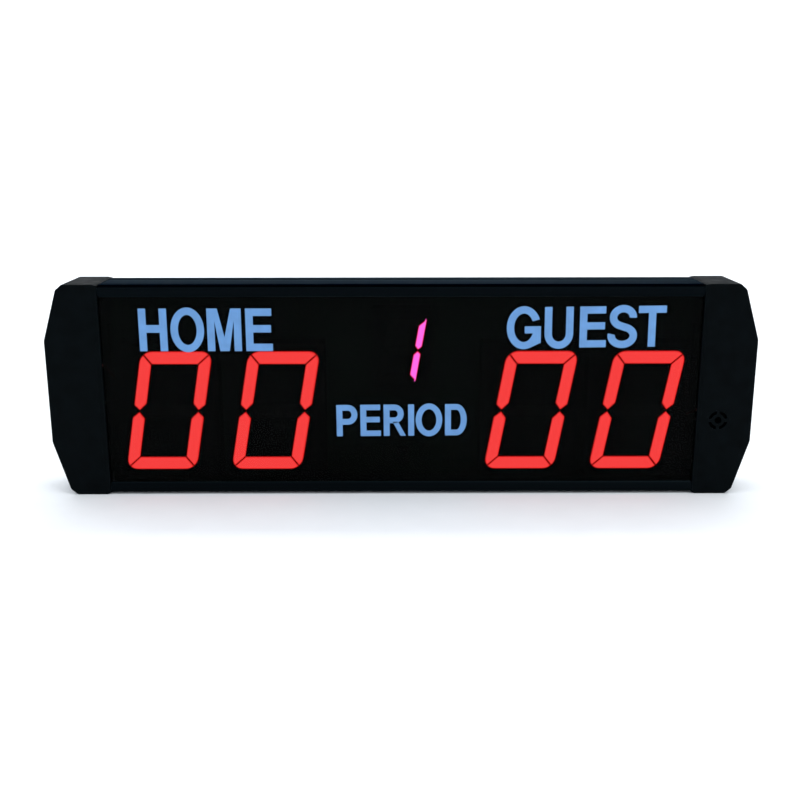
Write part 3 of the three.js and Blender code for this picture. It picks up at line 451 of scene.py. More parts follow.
def plain_cap(name):
    low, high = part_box("right_end_cap")
    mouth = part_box("body_extrusion")[1].x + 0.3 * MM
    cap = cap_blank(name, 0)
    far = high.x - CAP_CORNER_IN["top"] - 2 * MM
    round_edges(cap, 0.5 * MM, 3, lambda ends: all(p.x > far for p in ends)
                and abs(ends[0].y - ends[1].y) > 20 * MM)
    for face in (low.y, high.y):
        round_edges(cap, CAP_ROUND, 4, lambda ends: all(abs(p.y - face) < NEAR for p in ends)
                    and max(p.x for p in ends) > mouth + CAP_BEVEL_RUN + NEAR)
    shell = copy_of(cap, "cap_outer")
    cut(cap, cap_blank("cap_room", CAP_WALL))
    well_end = high.x - CAP_CORNER_IN["shoulder"] - CAP_WALL / 2
    bosses = [rod("boss", WELL_RADIUS + 1.3 * MM, (mouth, y, z), well_end - mouth, "X", 32)
              for y, z in screw_places()]
    fuse(cap, *bosses)
    boolean(cap, shell, "INTERSECT")
    cut(cap, block("mouth_cut", (mouth - 20 * MM, -1, -1), (mouth, 1, 1)))
    for y, z in screw_places():
        cut(cap, rod("well", WELL_RADIUS, (mouth + WELL_FLOOR, y, z), 40 * MM, "X", 40),
            rod("clearance", 1.6 * MM, (mouth - 1 * MM, y, z), 10 * MM, "X", 24))
    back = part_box("body_extrusion")[1].y - 1.8 * MM - 0.3 * MM
    tongue_z = (MIDDLE_Z - 28 * MM, MIDDLE_Z + 28 * MM)
    tongue = block("tongue", (low.x, back - 1.8 * MM, tongue_z[0]), (mouth + 3 * MM, back, tongue_z[1]))
    root = block("root", (mouth + 0.3 * MM, back - 1.8 * MM, tongue_z[0]),
                 (mouth + 3 * MM, high.y - 1 * MM, tongue_z[1]))
    return fuse(cap, root, tongue)


def make_caps(finish):
    right = plain_cap("right_cap")
    left = turned_over(copy_of(right, "left_cap"), "X", (0, 0, 0))
    pierce_grille(right)
    sink_power_pocket(left)
    for cap, node in ((right, "right_end_cap"), (left, "left_end_cap")):
        soften(cap, 0.22 * MM)
        finished(cap, finish, "textured_cap", node)


def pierce_grille(cap):
    """A centre hole and a ring of four arc slots in front of the buzzer."""
    low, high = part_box("right_end_cap")
    x, z = high.x - GRILLE["x"], low.z + GRILLE["z"]
    front = low.y - 1 * MM
    depth = CAP_WALL + 2 * MM
    ring = rod("grille_ring", GRILLE["outer"], (x, front, z), depth, "Y", 64)
    cut(ring, rod("ring_core", GRILLE["inner"], (x, front - 1 * MM, z), depth + 2 * MM, "Y", 48))
    half = GRILLE["rib"] / 2
    reach = GRILLE["outer"] + 1 * MM
    for rib, wide, tall in (("rib_up", half, reach), ("rib_across", reach, half)):
        cut(ring, block(rib, (x - wide, front - 1 * MM, z - tall), (x + wide, front + depth + 1 * MM, z + tall)))
    cut(cap, ring, rod("centre_hole", GRILLE["hole"], (x, front, z), depth, "Y", 40))
    holder = rod("buzzer_ring", 7.6 * MM, (x, low.y + CAP_WALL - 0.5 * MM, z), 5.5 * MM, "Y", 48)
    cut(holder, rod("ring_bore", 6.3 * MM, (x, low.y, z), 12 * MM, "Y", 48))
    fuse(cap, holder)


POCKET = {"depth": 4.2 * MM, "half_width": 8 * MM, "half_height": 18 * MM, "corner": 2 * MM}


def sink_power_pocket(cap):
    """The rounded well in the left end that keeps the socket and the switch below the surface."""
    low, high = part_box("left_end_cap")
    floor = low.x + POCKET["depth"]
    wide, tall = POCKET["half_width"], POCKET["half_height"]
    tray = block("tray", (low.x + 0.5 * MM, -wide - CAP_WALL, MIDDLE_Z - tall - CAP_WALL),
                 (floor + CAP_WALL, wide + CAP_WALL, MIDDLE_Z + tall + CAP_WALL))
    pocket = block("pocket", (low.x - 1 * MM, -wide, MIDDLE_Z - tall), (floor, wide, MIDDLE_Z + tall))
    round_edges(pocket, POCKET["corner"], 5, lambda ends: abs(ends[0].x - ends[1].x) > 3 * MM)
    jack_low, jack_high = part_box("power_jack")
    jack_z = (jack_low.z + jack_high.z) / 2
    switch_low, switch_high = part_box("switch_housing")
    switch_z = (switch_low.z + switch_high.z) / 2
    hole = rod("jack_hole", 4.3 * MM, (floor - 1 * MM, 0, jack_z), 6 * MM, "X", 48)
    slot = block("switch_hole", (floor - 1 * MM, -4.4 * MM, switch_z - 6.6 * MM),
                 (floor + 6 * MM, 4.4 * MM, switch_z + 6.6 * MM))
    fuse(cap, tray)
    cut(cap, pocket, hole, slot)


# ------------------------------------------------------------------ channel and lens

def make_channel(finish):
    """The extruded channel, its sharp corners broken as a die leaves them."""
    channel = copy_of(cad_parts["body_extrusion"], "channel")
    drop_frame_marks(channel)
    work_on(channel)
    bpy.ops.object.mode_set(mode="EDIT")
    bpy.ops.mesh.select_all(action="SELECT")
    bpy.ops.mesh.remove_doubles(threshold=0.002 * MM)
    bpy.ops.mesh.dissolve_limited(angle_limit=radians(1))
    bpy.ops.object.mode_set(mode="OBJECT")
    soften(channel, 0.15 * MM)
    finished(channel, finish, "anodised_channel", "body_extrusion")


def drop_frame_marks(piece):
    """A copy of a CAD node is a new piece, so it drops the marks of the node."""
    for mark in list(piece.keys()):
        if mark.startswith("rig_"):
            del piece[mark]
    piece.parent = None


def make_lens(finish):
    low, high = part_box("front_lens")
    lens = block("lens", low, high)
    soften(lens, 0.2 * MM)
    finished(lens, finish, "tinted_lens", "front_lens")


# ------------------------------------------------------------------ printed words

STROKE_DEPTH = 1 * MM  # a stroke is cut this deep, then pressed down to the ink's thickness
INK = 0.04 * MM
# For each word: its baseline above the middle, its height, its stroke, its tilt in degrees, and each letter with
# its left and right edges, in millimetres.
WORDS = {
    "home": {"base": 19.4, "tall": 20.2, "stroke": 3.5, "tilt": 0.0,
             "letters": (("H", -122.6, -109.4), ("O", -107.8, -92.1), ("M", -90.7, -74.7), ("E", -72.7, -60.0))},
    "guest": {"base": 20.9, "tall": 19.4, "stroke": 3.45, "tilt": 0.62,
              "letters": (("G", 49.4, 65.4), ("U", 67.1, 80.5), ("E", 83.5, 96.1), ("S", 96.6, 110.4),
                          ("T", 110.8, 123.8))},
    "period": {"base": -22.1, "tall": 15.5, "stroke": 2.85, "tilt": 0.4,
               "letters": (("P", -30.9, -20.9), ("E", -19.5, -9.6), ("R", -8.4, 2.2), ("I", 3.3, 6.2),
                           ("O", 6.9, 19.6), ("D", 20.9, 31.3))},
}


def bar(left, low, right, high):
    return block("bar", (left, 0, low), (right, STROKE_DEPTH, high))


def slanted_bar(foot, head, low, high):
    """A straight stroke between two levels; foot and head are its left and right edges at each."""
    piece = bar(foot[0], low, foot[1], high)
    for side in (0, 1):
        pick(piece, "corners", lambda points: points[0].z > high - 0.01 * MM and
             abs(points[0].x - foot[side]) < 0.01 * MM)
        bpy.ops.transform.translate(value=(head[side] - foot[side], 0, 0))
        bpy.ops.object.mode_set(mode="OBJECT")
    return piece


def oval(left, low, right, high, depth=STROKE_DEPTH):
    clear_selection()
    bpy.ops.mesh.primitive_cylinder_add(vertices=72, radius=0.5, depth=depth, rotation=TURNS["Y"],
                                        location=((left + right) / 2, STROKE_DEPTH / 2, (low + high) / 2),
                                        scale=(right - left, high - low, 1))
    return settle()


def open_oval(left, low, right, high, stroke):
    return cut(oval(left, low, right, high),
               oval(left + stroke, low + stroke, right - stroke, high - stroke, 3 * STROKE_DEPTH))


def bowl(left, low, right, high, swing, stroke):
    """Square to the stem on the left, half an oval on the right."""
    piece = fuse(bar(left, low, right - swing, high), oval(right - 2 * swing, low, right, high))
    cut(piece, oval(right - 2 * swing + stroke, low + stroke, right - stroke, high - stroke, 3 * STROKE_DEPTH),
        block("counter", (left + stroke, -1 * MM, low + stroke), (right - swing, 2 * MM, high - stroke)))
    return piece


def letter_h(wide, tall, stroke):
    return fuse(bar(0, 0, stroke, tall), bar(wide - stroke, 0, wide, tall),
                bar(stroke / 2, 0.436 * tall, wide - stroke / 2, 0.617 * tall))


def letter_o(wide, tall, stroke):
    return open_oval(0, -0.025 * tall, wide, 1.025 * tall, stroke)


def letter_m(wide, tall, stroke):
    foot = (wide / 2 - 0.63 * stroke, wide / 2 + 0.44 * stroke)
    head = (0.16 * wide, 0.305 * wide)
    return fuse(bar(0, 0, stroke, tall), bar(wide - stroke, 0, wide, tall), slanted_bar(foot, head, 0, tall),
                slanted_bar((wide - foot[1], wide - foot[0]), (wide - head[1], wide - head[0]), 0, tall))


def letter_e(wide, tall, stroke):
    arm = 0.175 * tall
    return fuse(bar(0, 0, stroke, tall), bar(stroke / 2, 0, 0.985 * wide, arm),
                bar(stroke / 2, tall - arm, 0.96 * wide, tall),
                bar(stroke / 2, 0.526 * tall - arm / 2, 0.935 * wide, 0.526 * tall + arm / 2))


def letter_g(wide, tall, stroke):
    ring = open_oval(0, -0.025 * tall, wide, 1.025 * tall, stroke)
    mouth = block("mouth", (wide / 2, -1 * MM, 0.5 * tall), (wide + 1 * MM, 2 * MM, tall))
    slice_off(mouth, (wide, 0, 0.71 * tall), (-0.26, 0, 0.97))
    cut(ring, mouth)
    foot = slice_off(bar(0.66 * wide, 0, wide, 0.13 * tall), (wide, 0, 0.13 * tall), (0.414, 0, -0.91))
    return fuse(ring, foot, bar(wide - stroke, 0.12 * tall, wide, 0.535 * tall),
                bar(0.526 * wide, 0.362 * tall, wide - stroke / 2, 0.535 * tall))


def letter_u(wide, tall, stroke):
    curve = 0.37 * tall
    cup = open_oval(0, -0.025 * tall, wide, 2 * curve - 0.025 * tall, stroke)
    cut(cup, block("open", (-1 * MM, -1 * MM, curve - 0.025 * tall), (wide + 1 * MM, 2 * MM, tall)))
    top = curve - 0.025 * tall - 0.01 * MM
    return fuse(cup, bar(0, top, stroke, tall), bar(wide - stroke, top, wide, tall))


def letter_s(wide, tall, stroke):
    """Two open ovals and the slope between them, drawn as one middle line and thickened."""
    low, high = -0.025 * tall + stroke / 2, 1.025 * tall - stroke / 2
    swing = 0.2415 * (high - low)
    line = []
    for centre, half, rise, start, end in ((0.516 * wide, 0.458 * wide - stroke / 2, high - swing, -3, 249),
                                           (0.5 * wide, 0.5 * wide - stroke / 2, low + swing, 167, 429)):
        clear_selection()
        bpy.ops.mesh.primitive_circle_add(vertices=120, radius=1, fill_type="NOTHING", rotation=TURNS["Y"],
                                          location=(centre, 0, rise))
        bpy.context.object.scale = (half, swing, 1)
        arc = settle()

        def outside(points):
            angle = degrees(atan2((points[0].z - rise) / swing, (points[0].x - centre) / half))
            return not any(start - 1 < angle + turn < end + 1 for turn in (0, 360))
        pick(arc, "corners", outside)
        bpy.ops.mesh.delete(type="VERT")
        bpy.ops.object.mode_set(mode="OBJECT")
        line.append(arc)
    spine = joined(line)
    middle = (low + high) / 2
    ends = sorted((v.co for v in spine.data.vertices if 0.2 * wide < v.co.x < 0.8 * wide),
                  key=lambda co: abs(co.z - middle))[:2]
    pick(spine, "corners", lambda points: any((points[0] - end).length < 0.001 * MM for end in ends))
    bpy.ops.mesh.edge_face_add()
    bpy.ops.mesh.select_all(action="SELECT")
    bpy.ops.mesh.extrude_edges_move(TRANSFORM_OT_translate={"value": (0, STROKE_DEPTH, 0)})
    bpy.ops.mesh.select_all(action="SELECT")
    bpy.ops.mesh.normals_make_consistent(inside=False)
    bpy.ops.object.mode_set(mode="OBJECT")
    thick = spine.modifiers.new("thick", "SOLIDIFY")
    thick.thickness, thick.offset, thick.use_even_offset = stroke, 0, True
    bpy.ops.object.modifier_apply(modifier=thick.name)
    return outward(spine)


def letter_t(wide, tall, stroke):
    return fuse(bar((wide - stroke) / 2, 0, (wide + stroke) / 2, tall), bar(0, 0.825 * tall, wide, tall))


def letter_p(wide, tall, stroke):
    return fuse(bar(0, 0, stroke, tall), bowl(0, 0.37 * tall, wide, tall, 0.45 * wide, stroke))


def letter_r(wide, tall, stroke):
    return fuse(bar(0, 0, stroke, tall), bowl(0, 0.405 * tall, 0.905 * wide, tall, 0.42 * wide, stroke),
                slanted_bar((0.755 * wide, wide), (0.405 * wide, 0.65 * wide), 0, 0.45 * tall))


def letter_i(wide, tall, stroke):
    return bar((wide - stroke) / 2, 0, (wide + stroke) / 2, tall)


def letter_d(wide, tall, stroke):
    return bowl(0, 0, wide, tall, 0.475 * wide, stroke)


LETTERS = {"H": letter_h, "O": letter_o, "M": letter_m, "E": letter_e, "G": letter_g, "U": letter_u,
           "S": letter_s, "T": letter_t, "P": letter_p, "R": letter_r, "I": letter_i, "D": letter_d}


def joined(pieces):
    clear_selection()
    for piece in pieces:
        piece.select_set(True)
    bpy.context.view_layer.objects.active = pieces[0]
    bpy.ops.object.join()
    return pieces[0]


def outward(piece):
    work_on(piece)
    bpy.ops.object.mode_set(mode="EDIT")
    bpy.ops.mesh.select_all(action="SELECT")
    bpy.ops.mesh.normals_make_consistent(inside=False)
    bpy.ops.object.mode_set(mode="OBJECT")
    return piece


def make_words(finish):
    """Plain capitals screen-printed on the lens."""
    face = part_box("front_lens")[0].y
    for word, place in WORDS.items():
        drawn = []
        for letter, left, right in place["letters"]:
            piece = LETTERS[letter]((right - left) * MM, place["tall"] * MM, place["stroke"] * MM)
            piece.data.transform(Matrix.Translation((left * MM, 0, 0)))
            drawn.append(piece)
        label = joined(drawn)
        label.name = "printed_" + word
        middle = (place["letters"][0][1] + place["letters"][-1][2]) / 2 * MM
        clear_selection()
        label.select_set(True)
        bpy.context.view_layer.objects.active = label
        about = Matrix.Translation((middle, 0, 0))
        tilt = about @ Matrix.Rotation(-radians(place["tilt"]), 4, "Y") @ about.inverted()
        press = Matrix.Diagonal((1, INK / STROKE_DEPTH, 1, 1))
        lift = Matrix.Translation((0, face - INK, MIDDLE_Z + place["base"] * MM))
        label.data.transform(lift @ press @ tilt)
        finished(label, finish, "tinted_lens")


# ------------------------------------------------------------------ digits

SLANT = tan(radians(10))
# Half heights and half widths, bar width, gaps and shoulders of the two sizes of digit, in millimetres.
SCORE_DIGIT = {"half_height": 29.1, "bar": 6.15, "outer": 17, "inner": 11.15, "corner": 5.4, "mitre": 0.34,
               "middle": 0.9, "outer_shoulder": 2.7, "inner_shoulder": 3.4}
PERIOD_DIGIT = {"half_height": 15.25, "bar": 3.3, "outer": 9.05, "inner": 5.75, "corner": 1.2, "mitre": 0.3,
                "middle": 0.7, "outer_shoulder": 1.5, "inner_shoulder": 1.9}
GUIDE_DEPTH = 4 * MM
GLOW_STEP = 0.03  # width of one step of the glow, as a share of the bar


def frame_ring(digit):
    """The round-cornered frame that the six outer segments are sawn from, upright at the origin."""
    outer, tall = digit["outer"] * MM, digit["half_height"] * MM
    inner, under = digit["inner"] * MM, (digit["half_height"] - digit["bar"]) * MM
    ring = block("ring", (-outer, 0, -tall), (outer, GUIDE_DEPTH, tall))
    round_edges(ring, digit["corner"] * MM, 8, lambda ends: abs(ends[0].y - ends[1].y) > GUIDE_DEPTH / 2)
    return cut(ring, block("ring_room", (-inner, -GUIDE_DEPTH, -under), (inner, 2 * GUIDE_DEPTH, under)))


def saw_segments(digit):
    """The seven light guides of one digit, upright at the origin: a to g, clockwise from the top."""
    corner = Vector((digit["inner"], 0, digit["half_height"] - digit["bar"])) * MM
    mitre = Vector((digit["outer"] - digit["inner"], 0, digit["bar"])).normalized()
    across = Vector((mitre.z, 0, -mitre.x))
    half_gap = digit["mitre"] / 2 * MM
    bar = frame_ring(digit)
    side = copy_of(bar, "side")
    for way in (1, -1):
        mirrored = Vector((way, 1, 1))
        slice_off(bar, (corner - across * half_gap) * mirrored, across * mirrored)
    middle_x = (digit["outer"] + digit["inner"]) / 2 * MM
    tip = Vector((middle_x, 0, digit["middle"] / 2 * MM))
    slice_off(side, corner + across * half_gap, -across)
    for edge, shoulder in (("outer", "outer_shoulder"), ("inner", "inner_shoulder")):
        run = Vector((digit[edge] * MM - middle_x, 0, digit[shoulder] * MM))
        down = Vector((run.z, 0, -run.x)) if run.x > 0 else Vector((-run.z, 0, run.x))
        slice_off(side, tip, down.normalized())
    centre = centre_bar(digit, middle_x)
    guides = [bar, side]
    guides.append(turned_over(copy_of(side, "c"), "Z", (0, 0, 0)))
    guides.append(turned_over(copy_of(bar, "d"), "Z", (0, 0, 0)))
    guides.append(turned_over(copy_of(guides[2], "e"), "X", (0, 0, 0)))
    guides.append(turned_over(copy_of(side, "f"), "X", (0, 0, 0)))
    return guides + [centre]


def centre_bar(digit, middle_x):
    half = digit["bar"] / 2 * MM
    reach = middle_x - 0.35 * MM
    bar = block("g", (-reach, 0, -half), (reach, GUIDE_DEPTH, half))
    lean = middle_x - digit["inner"] * MM
    for way_x in (1, -1):
        for way_z in (1, -1):
            outward = Vector((way_x * digit["inner_shoulder"] * MM, 0, way_z * lean)).normalized()
            slice_off(bar, (way_x * reach, 0, 0), outward)
    return bar


def face_steps(guide, bar_width, glow):
    """The front edge is chamfered, and the face brightens in steps from its rim to its middle."""
    for finish in glow:
        guide.data.materials.append(finish)
    pick(guide, "faces", lambda corners: all(p.y < NEAR for p in corners))
    bpy.ops.mesh.inset(thickness=0.1 * MM, depth=0.08 * MM)
    for step in range(1, len(glow)):
        bpy.ops.mesh.inset(thickness=bar_width * GLOW_STEP, depth=0)
        guide.active_material_index = step
        bpy.ops.object.material_slot_assign()
    bpy.ops.object.mode_set(mode="OBJECT")


def stand_digit(name, digit, lit, glow, dark, slot):
    """Sets the seven guides in their case, slanted, with the lit ones glowing."""
    low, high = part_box(name + "_digit_case")
    middle = Vector(((low.x + high.x) / 2, low.y, (low.z + high.z) / 2))
    lean = Matrix.Identity(4)
    lean[0][2] = SLANT
    for letter, guide in zip("abcdefg", saw_segments(digit)):
        face_steps(guide, digit["bar"] * MM, glow if letter in lit else (dark,))
        smooth(guide)
        guide.data.transform(Matrix.Translation(middle) @ lean)
        guide.name = name + "_segment_" + letter
        finished(guide, None, slot, name + "_segments")


# ------------------------------------------------------------------ screws, socket and switch

SCREW = {"head": 2 * MM, "head_round": 1.1 * MM, "shank": 1.35 * MM, "tip": 0.4 * MM, "tip_length": 1.6 * MM,
         "slot_half": 0.35 * MM, "slot_reach": 1.5 * MM, "slot_depth": 1.1 * MM}


def make_screws(finish):
    """Pan-head screws with a cross recess, deep in their wells."""
    for side, outwards in (("left", -1), ("right", 1)):
        for number in range(1, 5):
            node = "%s_cap_screw_%d" % (side, number)
            low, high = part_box(node)
            y, z = (low.y + high.y) / 2, (low.z + high.z) / 2
            radius = (high.y - low.y) / 2
            top = high.x if outwards > 0 else -low.x
            foot = low.x if outwards > 0 else -high.x
            seat = top - SCREW["head"]
            screw = rod(node.replace("cap_screw", "pan_screw"), radius, (seat, y, z), SCREW["head"], "X", 64)
            round_edges(screw, SCREW["head_round"], 6, lambda ends: all(end.x > top - NEAR for end in ends))
            shank_start = foot + SCREW["tip_length"] - 0.1 * MM
            shank = rod("shank", SCREW["shank"], (shank_start, y, z), seat - shank_start + 0.1 * MM, "X", 32)
            tip = rod("tip", SCREW["tip"], (foot, y, z), SCREW["tip_length"], "X", 32, far_radius=SCREW["shank"])
            fuse(screw, shank, tip)
            half, reach = SCREW["slot_half"], SCREW["slot_reach"]
            for slot, wide, tall in (("slot_up", half, reach), ("slot_across", reach, half)):
                cut(screw, block(slot, (top - SCREW["slot_depth"], y - wide, z - tall),
                                 (top + 1 * MM, y + wide, z + tall)))
            soften(screw, 0.06 * MM)
            if outwards < 0:
                turned_over(screw, "X", (0, 0, 0))
            finished(screw, finish, "cap_screw", node)


JACK = {"flange": 1.6 * MM, "barrel": 3.8 * MM, "thread": 4 * MM, "turns": 12, "pitch": 1 * MM, "turn": 0.6 * MM,
        "tag_run": 3.1 * MM, "bore": 3.2 * MM, "bore_depth": 9.5 * MM, "lead_in": 3.7 * MM, "pin": 1 * MM}


def make_power_jack(finish, pin_finish):
    """A threaded socket with a raised lip, a bored barrel, a solder tag and a round-ended centre pin."""
    low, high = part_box("power_jack")
    z = (low.z + high.z) / 2
    radius = (high.z - low.z) / 2
    jack = rod("power_socket", radius, (low.x, 0, z), JACK["flange"], "X", 72)
    thread_end = high.x - JACK["tag_run"]
    first = low.x + JACK["flange"] + JACK["turn"]
    turns = [rod("turn", JACK["thread"], (first + step * JACK["pitch"], 0, z), JACK["turn"], "X", 56)
             for step in range(JACK["turns"])]
    barrel = rod("barrel", JACK["barrel"], (low.x + 0.5 * MM, 0, z), thread_end - low.x - 0.5 * MM, "X", 56)
    fuse(jack, barrel, *turns)
    fuse(jack, block("tag", (thread_end - 1 * MM, 2.6 * MM, z - 1.2 * MM), (high.x, 3.4 * MM, z + 1.2 * MM)))
    cut(jack, rod("lead_in", JACK["lead_in"], (low.x - NEAR, 0, z), 0.6 * MM, "X", 56, far_radius=JACK["bore"]),
        rod("bore", JACK["bore"], (low.x - 1 * MM, 0, z), JACK["bore_depth"] + 1 * MM, "X", 56),
        rod("pin_hole", 1.2 * MM, (low.x, 0, z), high.x - low.x, "X", 32),
        rod("step", 4.7 * MM, (low.x - 1 * MM, 0, z), 1.25 * MM, "X", 64))
    fuse(jack, cut(rod("lip", 4.0 * MM, (low.x + 0.05 * MM, 0, z), 0.4 * MM, "X", 64),
                   rod("lip_bore", 3.5 * MM, (low.x - 1 * MM, 0, z), 3 * MM, "X", 56)))
    soften(jack, 0.08 * MM)
    finished(jack, finish, "socket_black", "power_jack")
    low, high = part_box("power_jack_pin")
    pin = rod("socket_pin", JACK["pin"], (low.x, 0, z), high.x - low.x, "X", 40)
    round_edges(pin, 0.45 * MM, 5, lambda ends: all(end.x < low.x + NEAR for end in ends))
    smooth(pin)
    finished(pin, pin_finish, "contact_brass", "power_jack_pin")


SWITCH = {"bezel": 1.8 * MM, "body_wide": 4.1 * MM, "body_tall": 6.3 * MM, "room_wide": 3.3 * MM,
          "room_tall": 5.6 * MM, "room_depth": 6 * MM}
ROCKER = {"long": 4.9 * MM, "wide": 3 * MM, "face": -2.5 * MM, "dish": 11.6 * MM, "dip": 0.9 * MM,
          "axis_in": 1.5 * MM, "rest_tilt": 11, "mark": 0.05 * MM}


def make_switch_housing(finish):
    """The frame round the rocker, the body behind it, and the slots that its terminals leave by."""
    low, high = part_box("switch_housing")
    z = (low.z + high.z) / 2
    bezel = block("switch_bezel", low, (low.x + SWITCH["bezel"], high.y, high.z))
    round_edges(bezel, 1 * MM, 5, lambda ends: abs(ends[0].x - ends[1].x) > 1 * MM)
    round_edges(bezel, 0.5 * MM, 4, lambda ends: all(end.x < low.x + NEAR for end in ends))
    wide, tall = SWITCH["body_wide"], SWITCH["body_tall"]
    fuse(bezel, block("body", (low.x + 1 * MM, -wide, z - tall), (high.x, wide, z + tall)))
    wide, tall = SWITCH["room_wide"], SWITCH["room_tall"]
    cut(bezel, block("room", (low.x - 1 * MM, -wide, z - tall), (low.x + SWITCH["room_depth"], wide, z + tall)))
    for number in (1, 2):
        slot_low, slot_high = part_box("switch_terminal_%d" % number)
        middle = (slot_low.z + slot_high.z) / 2
        cut(bezel, block("slot", (high.x - 3 * MM, -2.3 * MM, middle - 0.6 * MM),
                         (high.x + 1 * MM, 2.3 * MM, middle + 0.6 * MM)))
    soften(bezel, 0.12 * MM)
    finished(bezel, finish, "switch_black", "switch_housing")


def make_rocker(finish, mark_finish):
    """A dished rocker with moulded marks for on and off, set at its rest tilt."""
    low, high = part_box("switch_housing")
    axis = Vector((low.x + ROCKER["axis_in"], 0, (low.z + high.z) / 2))
    long, wide, face, dish = ROCKER["long"], ROCKER["wide"], ROCKER["face"], ROCKER["dish"]
    rocker = block("rocker", (face, -wide, -long), (0.6 * MM, wide, long))
    fuse(rocker, rod("heel", 3 * MM, (0.6 * MM, -wide, 0), 2 * wide, "Y", 64))
    cut(rocker, rod("dish", dish, (face + ROCKER["dip"] - dish, -wide - 1 * MM, 0), 2 * wide + 2 * MM, "Y", 160))
    film = copy_of(rocker, "film")
    film.data.transform(Matrix.Translation((-ROCKER["mark"], 0, 0)))
    ring = cut(rod("ring", 1.05 * MM, (face - 1 * MM, 0, -2.6 * MM), 2.5 * MM, "X", 48),
               rod("ring_room", 0.7 * MM, (face - 2 * MM, 0, -2.6 * MM), 5 * MM, "X", 48))
    dash = block("dash", (face - 1 * MM, -0.18 * MM, 1.5 * MM), (face + 1.5 * MM, 0.18 * MM, 3.7 * MM))
    marks = fuse(ring, dash)
    boolean(marks, film, "INTERSECT")
    cut(marks, copy_of(rocker, "rocker_copy"))
    soften(rocker, 0.25 * MM, 3)
    tilt = Matrix.Translation(axis) @ Matrix.Rotation(radians(ROCKER["rest_tilt"]), 4, "Y")
    for piece, name, surface, slot in ((rocker, "power_rocker", finish, "rocker_black"),
                                       (marks, "rocker_marks", mark_finish, "rocker_black")):
        piece.data.transform(tilt)
        piece.name = name
        finished(piece, surface, slot, "switch_rocker", body="rocker")


# ------------------------------------------------------------------ inside parts

def dress(finish, *nodes):
    """Gives pieces that keep their CAD shape a finish."""
    for node in nodes:
        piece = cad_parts[node]
        piece.data.materials.clear()
        piece.data.materials.append(finish)


def dress_inside_parts():
    digits = ("home_tens", "home_units", "guest_tens", "guest_units", "period")
    dress(black_case(), *(digit + "_digit_case" for digit in digits))
    dress(worked_surface("solder_mask", (0.004, 0.022, 0.008), 0.45, tone=0.25, tone_scale=120, grain=900,
                         bump=0.1, relief=0.01, specular=0.12), "main_board")
    dress(worked_surface("chip_epoxy", (0.008, 0.008, 0.009), 0.55, grain=2400, bump=0.35, specular=0.1),
          "microcontroller", "home_led_driver", "guest_led_driver", "period_led_driver", "voltage_regulator",
          "power_diode", "infrared_receiver")
    dress(worked_surface("plated_metal", (0.62, 0.61, 0.58), 0.28, tone=0.12, tone_scale=300, grain=2000,
                         bump=0.2, metallic=1.0), "clock_crystal", "backup_battery", "power_jack_nut")
    dress(worked_surface("terminal_brass", (0.62, 0.46, 0.20), 0.32, tone=0.15, tone_scale=300, grain=1800,
                         bump=0.2, metallic=1.0), "switch_terminal_1", "switch_terminal_2")
    dress(worked_surface("holder_plastic", (0.012, 0.012, 0.013), 0.5, grain=2000, bump=0.3, specular=0.3),
          "backup_battery_holder")
    dress(worked_surface("shrink_sleeve", (0.012, 0.022, 0.060), 0.3, tone=0.15, tone_scale=200, grain=1200,
                         bump=0.15, specular=0.4), "filter_capacitor")
    dress(worked_surface("ferrite", (0.035, 0.034, 0.033), 0.7, tone=0.25, grain=1600, bump=0.5, relief=0.04,
                         specular=0.25), "power_inductor")
    dress(worked_surface("white_nylon", (0.66, 0.64, 0.58), 0.45, tone=0.06, grain=1800, bump=0.25, specular=0.35),
          "power_header", "power_plug", "buzzer_header", "buzzer_plug")
    dress(worked_surface("buzzer_plastic", (0.0007, 0.0007, 0.0008), 0.5, grain=2000, bump=0.25, specular=0.01),
          "buzzer")
    dress(worked_surface("red_insulation", (0.11, 0.004, 0.004), 0.42, tone=0.12, grain=2200, bump=0.25,
                         specular=0.35), "jack_to_switch_lead", "switch_to_board_lead", "buzzer_lead_red")
    dress(worked_surface("black_insulation", (0.012, 0.012, 0.012), 0.42, tone=0.2, grain=2200, bump=0.25,
                         specular=0.35), "jack_to_board_lead", "buzzer_lead_black")


# ------------------------------------------------------------------ build

add_camera()
add_studio()

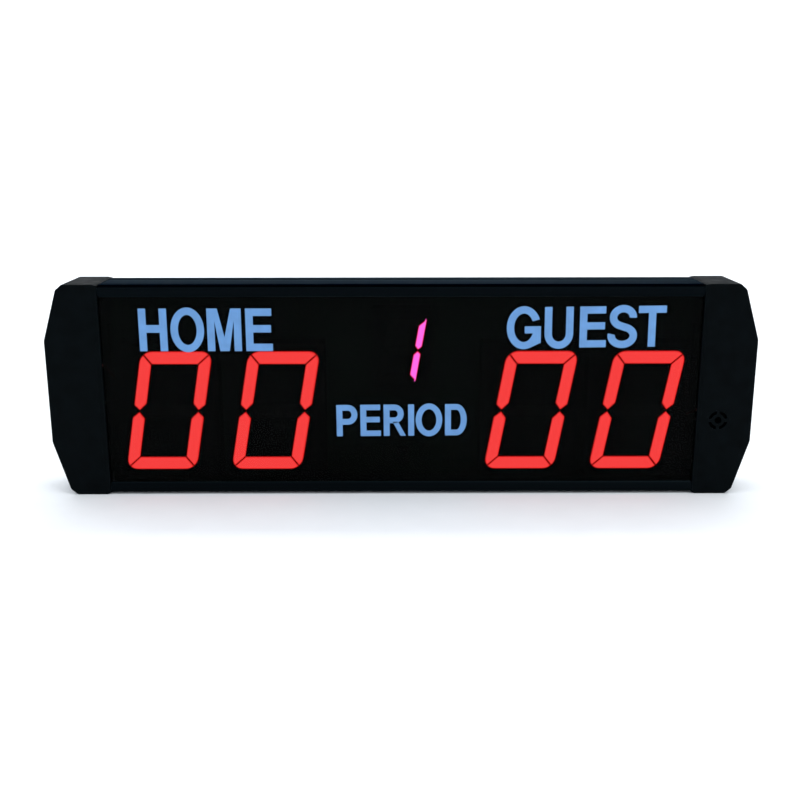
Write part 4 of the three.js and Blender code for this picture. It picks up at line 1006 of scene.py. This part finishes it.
make_caps(spark_textured_black())
make_channel(anodised_black())
make_lens(tinted_acrylic())
make_words(printed_blue())

RED_GLOW = tuple(lit_resin("red_%s" % name, colour, GLOW, (0.2, 0.02, 0.02)) for name, colour in (
    ("rim", (0.50, 0.006, 0.005)), ("flank", (0.86, 0.028, 0.026)), ("core", (0.92, 0.050, 0.048))))
PINK_GLOW = tuple(lit_resin("pink_%s" % name, colour, GLOW, (0.2, 0.02, 0.05)) for name, colour in (
    ("rim", (0.78, 0.006, 0.02)), ("flank", (1.0, 0.05, 0.28)), ("core", (1.0, 0.15, 0.82))))
DARK_RESIN = unlit_resin()
for digit_name in ("home_tens", "home_units", "guest_tens", "guest_units"):
    stand_digit(digit_name, SCORE_DIGIT, "abcdef", RED_GLOW, DARK_RESIN, "red_segments")
stand_digit("period", PERIOD_DIGIT, "bc", PINK_GLOW, DARK_RESIN, "pink_segments")

# edge: light grey painted along the screw edges, a painted highlight that is also meant as wear
make_screws(worked_surface("blackened_steel", (0.055, 0.056, 0.060), 0.38, tone=0.25, tone_scale=500, grain=2600,
                           bump=0.3, edge=(0.25, 0.25, 0.26), metallic=1.0))
# edge on the socket, the switch and the rocker: lighter colour painted along the edges, a painted highlight that
# is also meant as wear
make_power_jack(worked_surface("socket_plastic", (0.0028, 0.0033, 0.0037), 0.38, grain=2200, bump=0.25,
                               specular=0.07, edge=(0.012, 0.014, 0.016)),
                worked_surface("pin_nickel", (0.66, 0.62, 0.52), 0.25, grain=2200, bump=0.15, metallic=1.0))
make_switch_housing(worked_surface("switch_plastic", (0.0028, 0.0033, 0.0037), 0.34, grain=2400, bump=0.25,
                                   specular=0.07, edge=(0.012, 0.014, 0.016)))
make_rocker(worked_surface("rocker_plastic", (0.0036, 0.0041, 0.0046), 0.28, grain=2600, bump=0.2, specular=0.11,
                           edge=(0.016, 0.018, 0.020)),
            worked_surface("white_mark", (0.62, 0.64, 0.66), 0.5, tone=0.08, grain=2400, bump=0.15, specular=0.3))
dress_inside_parts()
